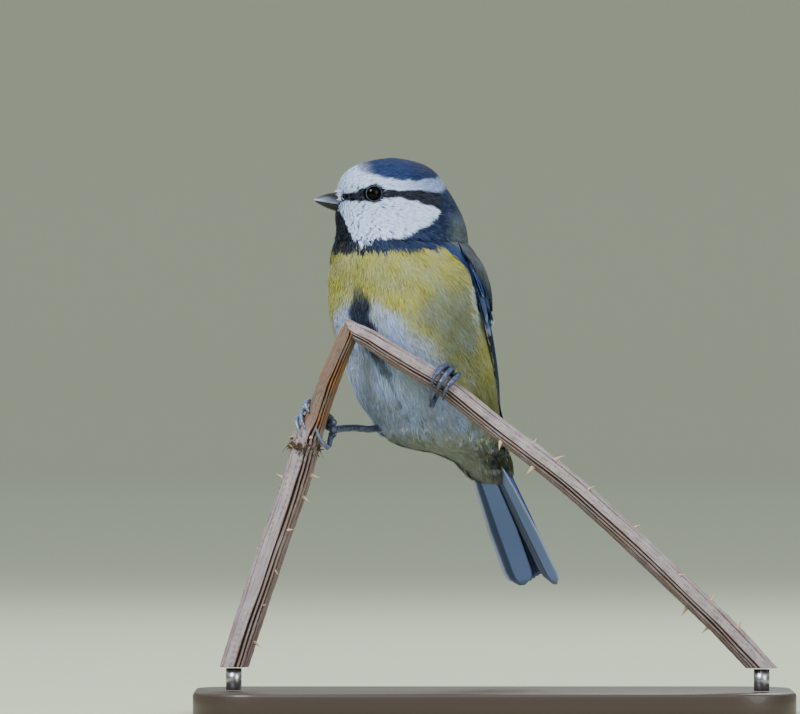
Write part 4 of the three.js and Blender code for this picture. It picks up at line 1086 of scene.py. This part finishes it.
class TIT_OT_wings(bpy.types.Operator):
    """Fold both wings over the back: flight feathers, coverts and the small feathers of the arm"""
    bl_idname = "tit.wings"
    bl_label = "Wings"

    def execute(self, context):
        web = finish("wing_webs", roughness=0.5, attribute=True, specular=0.35)
        down = finish("wing_small_feathers", roughness=0.75, attribute=True, specular=0.25)
        for side, word in ((1, "left"), (-1, "right")):
            specs, colours = self.vanes()
            blades = [wing_blade(side, spec) for spec in specs]
            wing = vanes_object(f"wing_feathers_{word}", blades, colours, *WING_GRID, web)
            finish_piece(wing, [f"wing_{word}"])

            def arm_place(u, v):
                u, v = np.asarray(u), np.asarray(v)
                z = ARM_TOP + (ARM_FOOT - ARM_TOP) * u
                swell = np.sin(np.pi * (0.06 + 0.88 * v)) ** 0.7
                rise = 0.1 + 3.0 * swell * np.clip(0.25 + u * 2.2, 0, 1) * np.clip(1.35 - u * 0.45, 0, 1)
                return on_wing(side, z, wing_angle(z, 0.03 + 0.94 * v), rise)

            rng = np.random.default_rng(20 + side)
            n = 900
            u = (np.arange(n) + 0.5) / n * 0.93
            v = (np.arange(n) * GOLDEN_SHARE + rng.uniform(0, 0.02, n)) % 1
            p = arm_place(u, v)
            along = unit(arm_place(u + 0.01, v) - arm_place(u - 0.01, v))
            round_ = unit(arm_place(u, v + 0.01) - arm_place(u, v - 0.01))
            normal = unit(np.cross(along, round_) * side)
            outwards = p - level_at(share_at(p[:, 2]))[:, CENTRE]
            normal = normal * np.sign((normal * outwards).sum(-1, keepdims=True))
            blue = edge(v - np.interp(u, [0, 0.3, 0.65, 0.93], [0.7, 0.62, 0.48, 0.3]), 0, 0.1)
            base = mix(MANTLE, mix(WING_BLUE, COVERT, 0.3), blue) * rng.uniform(0.72, 1.25, n)[:, None]
            tree = grid_tree(arm_place, 40, 40)

            def paint(middle):
                dark = blue[:, None] * (0.2 + 0.2 * wander(middle, 4, 30))
                return mix(base[:, None] + 0 * middle, COVERT, dark)

            scapular = 1 - blue
            coat = fans(
                f"wing_coverts_{word}", p, normal, along, length=3.6 + 3.4 * scapular,
                depth=0.55 + 0.5 * scapular, width=0.28, barbs=10, spread=30.0 - 10 * scapular, paint=paint,
                uv=np.stack([v, u], -1) * 0.98 + 0.01, material=down, tree=tree, seed=33,
                streak=TIT_OT_coat.streak,
            )
            finish_piece(coat, [])
            mesh = bent_grid(f"wing_arm_{word}", 24, 20, arm_place, closed=False)
            # The arm's sheet under the small feathers takes the coverts' colour at half: painted shade
            # between the tufts.
            colour_points(mesh, COVERT * 0.5)
            arm = linked(f"wing_arm_{word}", mesh, down)
            thicken(arm, 0.3)
            finish_piece(arm, [])
        return {"FINISHED"}

    @staticmethod
    def vanes():
        """The folded wing's feathers, lowest layer first, with the colours of each."""
        dark_tip = mix(SLATE, WHITE, 0.25)
        webs = {
            "tertial": (MANTLE * 0.8 + SLATE * 0.2, 0.8, WHITE, WHITE),
            "secondary": (WING_BLUE, 0.6, mix(WING_BLUE, MANTLE, 0.3), dark_tip),
            "primary": (mix(WING_BLUE, SLATE, 0.55), 0.45, mix(WING_BLUE, WHITE, 0.35), dark_tip),
        }
        specs, looks = [], []
        for spec in flight_rows():
            outer, share, fringe, tip = webs[spec["kind"]]
            specs.append(spec)
            looks.append((outer, mix(SLATE, outer, share), fringe, tip, SLATE * 0.5, 0.16, 0.03))
        greater = wing_row(
            count=9, root_z=119, tip_z=110.3, root_rise=2.2, tip_rise=3.1, low=0.1, high=0.96, half=1.9,
        )
        median = wing_row(
            count=8, root_z=123.5, tip_z=116.8, root_rise=2.3, tip_rise=3.3, low=0.12, high=0.93, half=2.0,
        )
        alula = [{"root": (119, 80, 1.6), "tip": (108.5, 79, 3.1), "half": 1.5, "slope": 0.3, "bow": 0}]
        for i, spec in enumerate(greater + alula):
            tip = mix(WING_BLUE, WHITE, 0.9 if i < 6 else 0.15)
            specs.append(spec)
            looks.append((WING_BLUE, mix(SLATE, COVERT, 0.7), WING_BLUE, tip, SLATE * 0.6, 0.15, 0.16))
        for spec in median:
            specs.append(spec)
            looks.append((WING_BLUE, COVERT, WING_BLUE, mix(WING_BLUE, WHITE, 0.1), COVERT, 0.15, 0.12))
        return specs, [vane_colour(*WING_GRID, *look) for look in looks]


class TIT_OT_tail(bpy.types.Operator):
    """Close the tail's twelve feathers like a low roof"""
    bl_idname = "tit.tail"
    bl_label = "Tail"

    def execute(self, context):
        web = finish("tail_webs", roughness=0.5, attribute=True, specular=0.35)
        under = np.cross(TAIL_WAY, BODY_LEFT)
        under = unit(under if under[2] < 0 else -under)
        slope = np.arctan(0.16)
        layers = {(0, 1): 0, (0, -1): 1, (5, 1): 1, (5, -1): 2}
        blades, colours = [], []
        s = np.linspace(0, 1, TAIL_GRID[0] + 1)
        for pair in range(6):
            for side in (1, -1):
                layer = pair + layers.get((pair, side), 0.6)
                fan = math.radians(0.9 + 0.75 * pair)
                outermost = pair == 5
                broad = {1: 0.3, -1: 1.2}[side] if outermost else 0
                offset = (0.9 + 0.62 * pair) * (0.55 + 0.45 * s) - broad * s
                run = (TAIL_LENGTH - 0.35 * abs(pair - 4)) * s
                middle = (
                    TAIL_ROOT + TAIL_WAY * (run * math.cos(fan))[:, None]
                    + BODY_LEFT * (side * (offset + run * math.sin(fan) * 0.55))[:, None]
                    + under * ((layer - 3.5) * 0.62 + 0.6 * s**2)[:, None]
                )
                outward = np.broadcast_to(circle(BODY_LEFT * side, under, slope), middle.shape)
                normal = np.broadcast_to(circle(-under, BODY_LEFT * side, slope), middle.shape)
                blades.append(vane(middle, normal, outward, 3.1 + broad, TAIL_OUTLINE, 0.04, *TAIL_GRID))
                # Inner pairs: the outer edge is darkened towards navy, painted shade along each feather's
                # edge.
                outer, inner, fringe = TAIL_BLUE, mix(SLATE, TAIL_BLUE, 0.35), mix(TAIL_BLUE, CAP, 0.6)
                shaft, rim = 0.25, 0.05
                if outermost:
                    fringe = mix(TAIL_BLUE, WHITE, 0.45)
                    shaft, rim = {1: (-0.35, 0.1), -1: (0.42, 0.14)}[side]
                    # On the bird's right outermost feather, nearest the viewer, the outer web from the shaft
                    # to the pale edge is dark: its shaft, with painted shade of the gap beside it.
                    if side < 0:
                        outer, inner = mix(SLATE, TAIL_BLUE, 0.3), TAIL_BLUE
                tip = mix(TAIL_BLUE, SLATE, 0.2)
                colours.append(vane_colour(*TAIL_GRID, outer, inner, fringe, tip, SLATE, rim, 0.02, shaft))
        tail = vanes_object("tail_feathers", blades, colours, *TAIL_GRID, web)
        finish_piece(tail, ["tail"])
        return {"FINISHED"}


class TIT_OT_bill(bpy.types.Operator):
    """Shape the short bill's two halves"""
    bl_idname = "tit.bill"
    bl_label = "Bill"

    def execute(self, context):
        horn = finish("bill_horn", roughness=0.42, attribute=True, specular=0.35)
        ahead, up, length = bill_frame()
        for name, upper in (("bill_upper", True), ("bill_lower", False)):
            def place(u, v):
                run = -3 + (length + (3 if upper else 2.65)) * u
                share = np.clip(run / length, 0, 1)
                taper = np.maximum(0.04, (1 - share**1.6) ** 0.85)
                taper = taper * np.clip(np.minimum(u, 1 - u) * 60, 0, 1) ** 0.5
                mouth = -1.05 * (1 - share**1.2) + (0.1 if upper else -0.1) * (1 - share)
                turn = 2 * np.pi * v
                height = (2.75 if upper else 1.6) * taper
                half = 2.2 * taper * (1 if upper else 0.9)
                lift = np.maximum(0, np.sin(turn)) ** 0.8 * (height + (-mouth * 0.35 if upper else 0))
                cheek = half * np.cos(turn) * np.where(np.sin(turn) > 0, 1 - 0.25 * np.sin(turn), 1)
                high = mouth + (lift if upper else -lift)
                return BILL_BASE + ahead * run[:, None] + HEAD_LEFT * cheek[:, None] + up * high[:, None]

            mesh = bent_grid(name + "_horn", 48, 40, place)
            q = perch_places(mesh) - BILL_BASE
            share = q @ ahead / length
            over = q @ up + 1.05 * (1 - np.clip(share, 0, 1) ** 1.2)
            if upper:
                tone = mix(linear(0x4A5062), linear(0x17181E), edge(over + 0.2 * np.sin(share * 9), 0.8, 1.8))
                tone = mix(linear(0x8A92A6), tone, edge(over, 0.3, 0.6))
            else:
                tone = mix(linear(0x141416), linear(0x0B0B0D), edge(-over, 0.2, 1.2))
            colour_points(mesh, mix(tone, linear(0x2A2B30), 0.5 * edge(0.25 - share, 0, 0.3)))
            bill = linked(name + "_horn", mesh, horn)
            finish_piece(bill, [name])
        return {"FINISHED"}


class TIT_OT_eyes(bpy.types.Operator):
    """Set the dark eyes with their rings of bare lid"""
    bl_idname = "tit.eyes"
    bl_label = "Eyes"

    def execute(self, context):
        ball = finish("eye_ball", linear(0x040303), roughness=0.04, specular=0.1)
        lid = finish("eye_lid", linear(0x3C434F), roughness=0.6, specular=0.3)
        for name, way in (("eye_left", 1), ("eye_right", -1)):
            low, high = (np.array(c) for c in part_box(name))
            centre = (low + high) / 2
            radius = float(min(high - low)) / 2
            shell = bmesh.new()
            bmesh.ops.create_uvsphere(shell, u_segments=48, v_segments=32, radius=radius * 0.985)
            bmesh.ops.translate(shell, verts=shell.verts, vec=Vector(centre))
            mesh = from_bmesh(name + "_ball", shell)
            finish_piece(linked(name + "_ball", mesh, ball), [name])
            out = HEAD_LEFT * way
            rim = centre / MM - PERCHED + out * (radius / MM - 0.72)
            across = unit(np.cross(UPWARDS, out))

            def place(u, v):
                a, b = 2 * np.pi * u, 2 * np.pi * v
                wide = 1.98 + 0.12 * np.cos(b) + 0.03 * np.sin(9 * a) * np.cos(b)
                high = wide * np.sin(a) * (1 - 0.07 * np.abs(np.sin(a)))
                deep = 0.22 * np.sin(b)
                flat = rim + across * (wide * np.cos(a))[:, None]
                return flat + UPWARDS * high[:, None] + out * deep[:, None]

            ring = linked(name + "_ring", bent_grid(name + "_ring", 72, 14, place), lid)
            finish_piece(ring, [])
        return {"FINISHED"}


class TIT_OT_legs(bpy.types.Operator):
    """Round the scaled legs and toes and the curved claws"""
    bl_idname = "tit.legs"
    bl_label = "Legs and claws"

    def execute(self, context):
        skin = finish("leg_scales", roughness=0.36, specular=0.6)
        nodes, links = skin.node_tree.nodes, skin.node_tree.links
        cells = nodes.new("ShaderNodeTexVoronoi")
        cells.inputs["Scale"].default_value = 1300
        place = nodes.new("ShaderNodeTexCoord")
        links.new(place.outputs["Object"], cells.inputs["Vector"])
        bump(skin, cells.outputs["Distance"], strength=0.5, distance=0.0003)
        tones = nodes.new("ShaderNodeValToRGB")
        tones.color_ramp.elements[0].color = (*linear(0x4C5C80), 1)
        tones.color_ramp.elements[1].color = (*linear(0x131924), 1)
        links.new(cells.outputs["Distance"], tones.inputs["Fac"])
        links.new(tones.outputs["Color"], nodes["Principled BSDF"].inputs["Base Color"])
        claws = {
            "left": finish("dark_claw_horn", linear(0x343B4C), roughness=0.3),
            "right": finish("claw_horn", linear(0x5E6A88), roughness=0.2, specular=0.7),
        }
        toes = ("inner", "middle", "outer", "hind")
        for side in ("left", "right"):
            foot = [f"tarsus_{side}", *(f"toe_{toe}_{side}" for toe in toes)]
            made = from_nodes(
                f"foot_{side}_skin", foot, voxel=0.12, rounds=5, material=skin, bridge=0.95, grow=0.1,
            )
            finish_piece(made, foot)
            grow = 0.2 if side == "right" else 0.05
            for toe in toes:
                node = f"claw_{toe}_{side}"
                horn = from_nodes(
                    f"{node}_horn", [node], voxel=0.09, rounds=2, material=claws[side], grow=grow,
                )
                finish_piece(horn, [node])
        return {"FINISHED"}


class TIT_OT_stem(bpy.types.Operator):
    """Grow the bent bramble stem with its furrowed bark and prickles"""
    bl_idname = "tit.stem"
    bl_label = "Bramble stem"

    def execute(self, context):
        looks = context.scene.tit_stem
        bark = finish("bark", attribute=True, roughness=0.82, specular=0.2)
        thorn = finish("prickle", linear(0xB99F86), roughness=0.5)
        fray = finish("frayed_bark", linear(0x513C2F), roughness=0.9)
        arms = (("right", RIGHT_ARM, RIGHT_GROOVES, 41), ("left", LEFT_ARM, LEFT_GROOVES, 40))
        for word, rows, grooves, seed in arms:
            rng = np.random.default_rng(seed)
            phase = rng.uniform(0, 6.28, 8)
            mesh = bent_grid(f"stem_{word}", 380, 150, tube_place(rows, furrows(grooves, phase)))
            arm = linked(f"stem_{word}", mesh, bark)
            cut_off(arm, (0, 0, (ARM_CUT + PERCHED[2]) * MM), (0, 0, -1))
            cut_off(arm, world(STEM_APEX), STEM_APEX_WAY * (-1 if word == "right" else 1))
            self.paint(arm.data, looks, word, grooves, phase)
            finish_piece(arm, [f"perch_{word}_arm"])
            shell = bmesh.new()
            for i in range(looks.prickles):
                u = (i + rng.uniform(0.15, 0.85)) / looks.prickles
                row = smooth_rows(rows, u)[0]
                if row[2] < ARM_CUT + 3 or 86 < row[2]:
                    continue
                size = rng.uniform(0.6, 1.2)
                turn = (1.57 if i % 2 else -1.57) + rng.uniform(-0.9, 0.9) + (i % 5 == 0) * 1.6
                hook = rng.uniform(-0.4, 0.5)
                add_spike(shell, row, self.ahead(rows, u), turn, 2.9 * size, 0.45 * size, hook)
            mesh = from_bmesh(f"prickles_{word}", shell, outwards=True)
            finish_piece(linked(f"prickles_{word}", mesh, thorn), [])
        rng = np.random.default_rng(90)
        shell = bmesh.new()
        for i in range(150):
            u = rng.uniform(*FRAYED)
            row = smooth_rows(LEFT_ARM, u)[0]
            length = rng.uniform(0.8, 2.2) * (1.4 if i % 4 == 0 else 1)
            hook = rng.uniform(-1.1, 1.2)
            turn = rng.uniform(0, 6.28)
            add_spike(shell, row, self.ahead(LEFT_ARM, u), turn, length, rng.uniform(0.25, 0.5), hook, 5)
        mesh = from_bmesh("frayed_node", shell, outwards=True)
        finish_piece(linked("frayed_node", mesh, fray), [])
        return {"FINISHED"}

    @staticmethod
    def ahead(rows, u):
        return unit(smooth_rows(rows, min(u + 0.01, 1))[0, :3] - smooth_rows(rows, max(u - 0.01, 0))[0, :3])

    @staticmethod
    def paint(mesh, looks, word, grooves, phase):
        """Colours the bark: dark grooves as painted shade, brown lips, speckled grey ridges."""
        p = perch_places(mesh)
        u, v = surface_places(mesh).T
        deep, lip = groove_share(360 * v, u, grooves, phase)
        turn = (360 * v + 180) % 360 - 180
        turn = turn if word == "right" else -turn
        bark = mix(np.array(looks.bark), linear(0xA2979A), 0.5 + 0.5 * wander(p, 7, 44))
        bark = mix(bark, linear(0x6C5C54), 0.5 * edge(turn, 9, 13) * edge(150 - turn, 0, 20))
        above = edge(p[:, 2], 84, 87) * (word == "left")
        bark = mix(bark, linear(0x6E5540), 0.75 * above)
        bark = mix(bark, linear(0x5F4E46), 0.5 * edge(wander(p * [1, 1, 0.6], 0.8, 45), 0.25, 0.9))
        line = np.sin(np.radians(19 * turn) + 2 * np.sin(u * 23 + phase[2]))
        bark = mix(bark, linear(0x59463C), 0.4 * edge(line, 0.5, 1) * edge(wander(p, 5, 46), -0.6, 0.2))
        brown = mix(linear(0x7C5C46), linear(0x99622F), above)
        bark = mix(bark, brown, (0.5 + 0.25 * above) * lip * edge(wander(p, 16, 43), -0.6, 0.4))
        # Painted shade: the bark turns to the groove colour deep in each groove.
        colour_points(mesh, mix(bark, np.array(looks.groove), edge(deep, 0.12, 0.6)))


class TIT_OT_stand(bpy.types.Operator):
    """Finish the flat base and the two short rods"""
    bl_idname = "tit.stand"
    bl_label = "Stand"

    def execute(self, context):
        wood = finish("base_wood", tuple(context.scene.tit_stand.wood), roughness=0.45, coat=0.15)
        steel = finish("rod_steel", linear(0xA9ABAE), roughness=0.3, metallic=1.0)
        low, high = (np.array(c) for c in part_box("stand_base"))
        shell = bmesh.new()
        bmesh.ops.create_cube(shell, size=1.0)
        bmesh.ops.scale(shell, verts=shell.verts, vec=Vector(high - low))
        bmesh.ops.translate(shell, verts=shell.verts, vec=Vector((low + high) / 2))
        corner_round, rim_round = 0.016, 0.0009
        uprights = [e for e in shell.edges if abs(e.verts[0].co.z - e.verts[1].co.z) > 0.001]
        bmesh.ops.bevel(
            shell, geom=uprights, offset=corner_round, segments=16, profile=0.5, affect="EDGES", material=-1,
        )
        rims = [e for e in shell.edges if abs(e.verts[0].co.z - e.verts[1].co.z) < 1e-6]
        bmesh.ops.bevel(
            shell, geom=rims, offset=rim_round, segments=3, profile=0.5, affect="EDGES", material=-1,
        )
        mesh = from_bmesh("stand_board", shell)
        finish_piece(linked("stand_board", mesh, wood), ["stand_base"])
        for word in ("left", "right"):
            low, high = (np.array(c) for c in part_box(f"stand_rod_{word}"))
            shell = bmesh.new()
            radius, long = float(high[0] - low[0]) / 2, float(high[2] - low[2])
            bmesh.ops.create_cone(
                shell, cap_ends=True, segments=48, radius1=radius, radius2=radius, depth=long,
            )
            bmesh.ops.translate(shell, verts=shell.verts, vec=Vector((low + high) / 2))
            mesh = from_bmesh(f"stand_pin_{word}", shell)
            finish_piece(linked(f"stand_pin_{word}", mesh, steel), [f"stand_rod_{word}"])
        return {"FINISHED"}


class TIT_OT_stage(bpy.types.Operator):
    """Set the plain floor, the soft lights and the camera"""
    bl_idname = "tit.stage"
    bl_label = "Stage"

    def execute(self, context):
        looks = context.scene.tit_stand
        ground = finish("backdrop", tuple(looks.floor), roughness=0.95, specular=0.1)
        shell = bmesh.new()
        section = [(0, 0), (6.0, 0), (6.6, 0.06), (7.2, 0.3), (7.7, 0.8), (8.0, 1.6), (8.1, 3.0)]
        line = [shell.verts.new((x, 0, z)) for x, z in section]
        edges = [shell.edges.new(pair) for pair in zip(line, line[1:])]
        bmesh.ops.spin(
            shell, geom=line + edges, cent=(0, 0, 0), axis=(0, 0, 1), angle=2 * math.pi, steps=64,
            use_merge=True,
        )
        bmesh.ops.remove_doubles(shell, verts=shell.verts, dist=1e-4)
        bmesh.ops.recalc_face_normals(shell, faces=shell.faces)
        if sum(f.normal.z for f in shell.faces) < 0:
            bmesh.ops.reverse_faces(shell, faces=shell.faces)
        floor = linked("floor", from_bmesh("floor", shell), ground)
        floor.location.z = -0.0002
        aim = Vector((-0.0235, 0.0, 0.08925))
        seen_width, sensor = 0.2, 36
        for name, where, size, power in (
            ("key", (-0.6, -0.8, 0.9), 0.6, 24.0),
            ("fill", (0.9, -0.8, 0.4), 0.9, 9.0),
            ("back", (0.35, 0.9, 0.9), 0.6, 12.0),
        ):
            light = bpy.data.lights.new(name, "AREA")
            light.shape, light.size, light.energy = "DISK", size, power
            light.color = (0.93, 0.97, 1.0)
            lamp = bpy.data.objects.new(name, light)
            lamp.location = Vector(where) + aim
            lamp.rotation_euler = (-Vector(where)).to_track_quat("-Z", "Y").to_euler()
            context.scene.collection.objects.link(lamp)
        sky = bpy.data.worlds.new("studio")
        sky.use_nodes = True
        shade = sky.node_tree.nodes["Background"]
        shade.inputs["Color"].default_value = (*linear(0xDFE7F0), 1)
        shade.inputs["Strength"].default_value = 0.95
        context.scene.world = sky
        lens = bpy.data.cameras.new("camera")
        lens.sensor_width = sensor
        lens.lens = sensor * looks.distance / seen_width
        lens.clip_end = 50
        camera = bpy.data.objects.new("camera", lens)
        camera.location = aim + Vector((0, -looks.distance, 0))
        camera.rotation_euler = (math.pi / 2, 0, 0)
        context.scene.collection.objects.link(camera)
        context.scene.camera = camera
        return {"FINISHED"}


class TIT_PT_panel(bpy.types.Panel):
    """The model's pieces and their sizes"""
    bl_label = "Perched blue tit"
    bl_idname = "TIT_PT_panel"
    bl_space_type = "VIEW_3D"
    bl_region_type = "UI"
    bl_category = "Blue tit"

    def draw(self, context):
        scene = context.scene
        for group in (scene.tit_plumage, scene.tit_stem, scene.tit_stand):
            for name in group.__annotations__:
                self.layout.prop(group, name)
        for piece in PIECES:
            self.layout.operator(piece.bl_idname)


PIECES = (
    TIT_OT_skin, TIT_OT_coat, TIT_OT_wings, TIT_OT_tail, TIT_OT_bill, TIT_OT_eyes, TIT_OT_legs, TIT_OT_stem,
    TIT_OT_stand, TIT_OT_stage,
)
CLASSES = (TitPlumage, TitStem, TitStand, *PIECES, TIT_PT_panel)


def register():
    for each in CLASSES:
        bpy.utils.register_class(each)
    bpy.types.Scene.tit_plumage = PointerProperty(type=TitPlumage)
    bpy.types.Scene.tit_stem = PointerProperty(type=TitStem)
    bpy.types.Scene.tit_stand = PointerProperty(type=TitStand)


def unregister():
    del bpy.types.Scene.tit_plumage, bpy.types.Scene.tit_stem, bpy.types.Scene.tit_stand
    for each in reversed(CLASSES):
        bpy.utils.unregister_class(each)


def main():
    register()
    for piece in PIECES:
        group, name = piece.bl_idname.split(".")
        getattr(getattr(bpy.ops, group), name)()


if __name__ == "__main__":
    main()
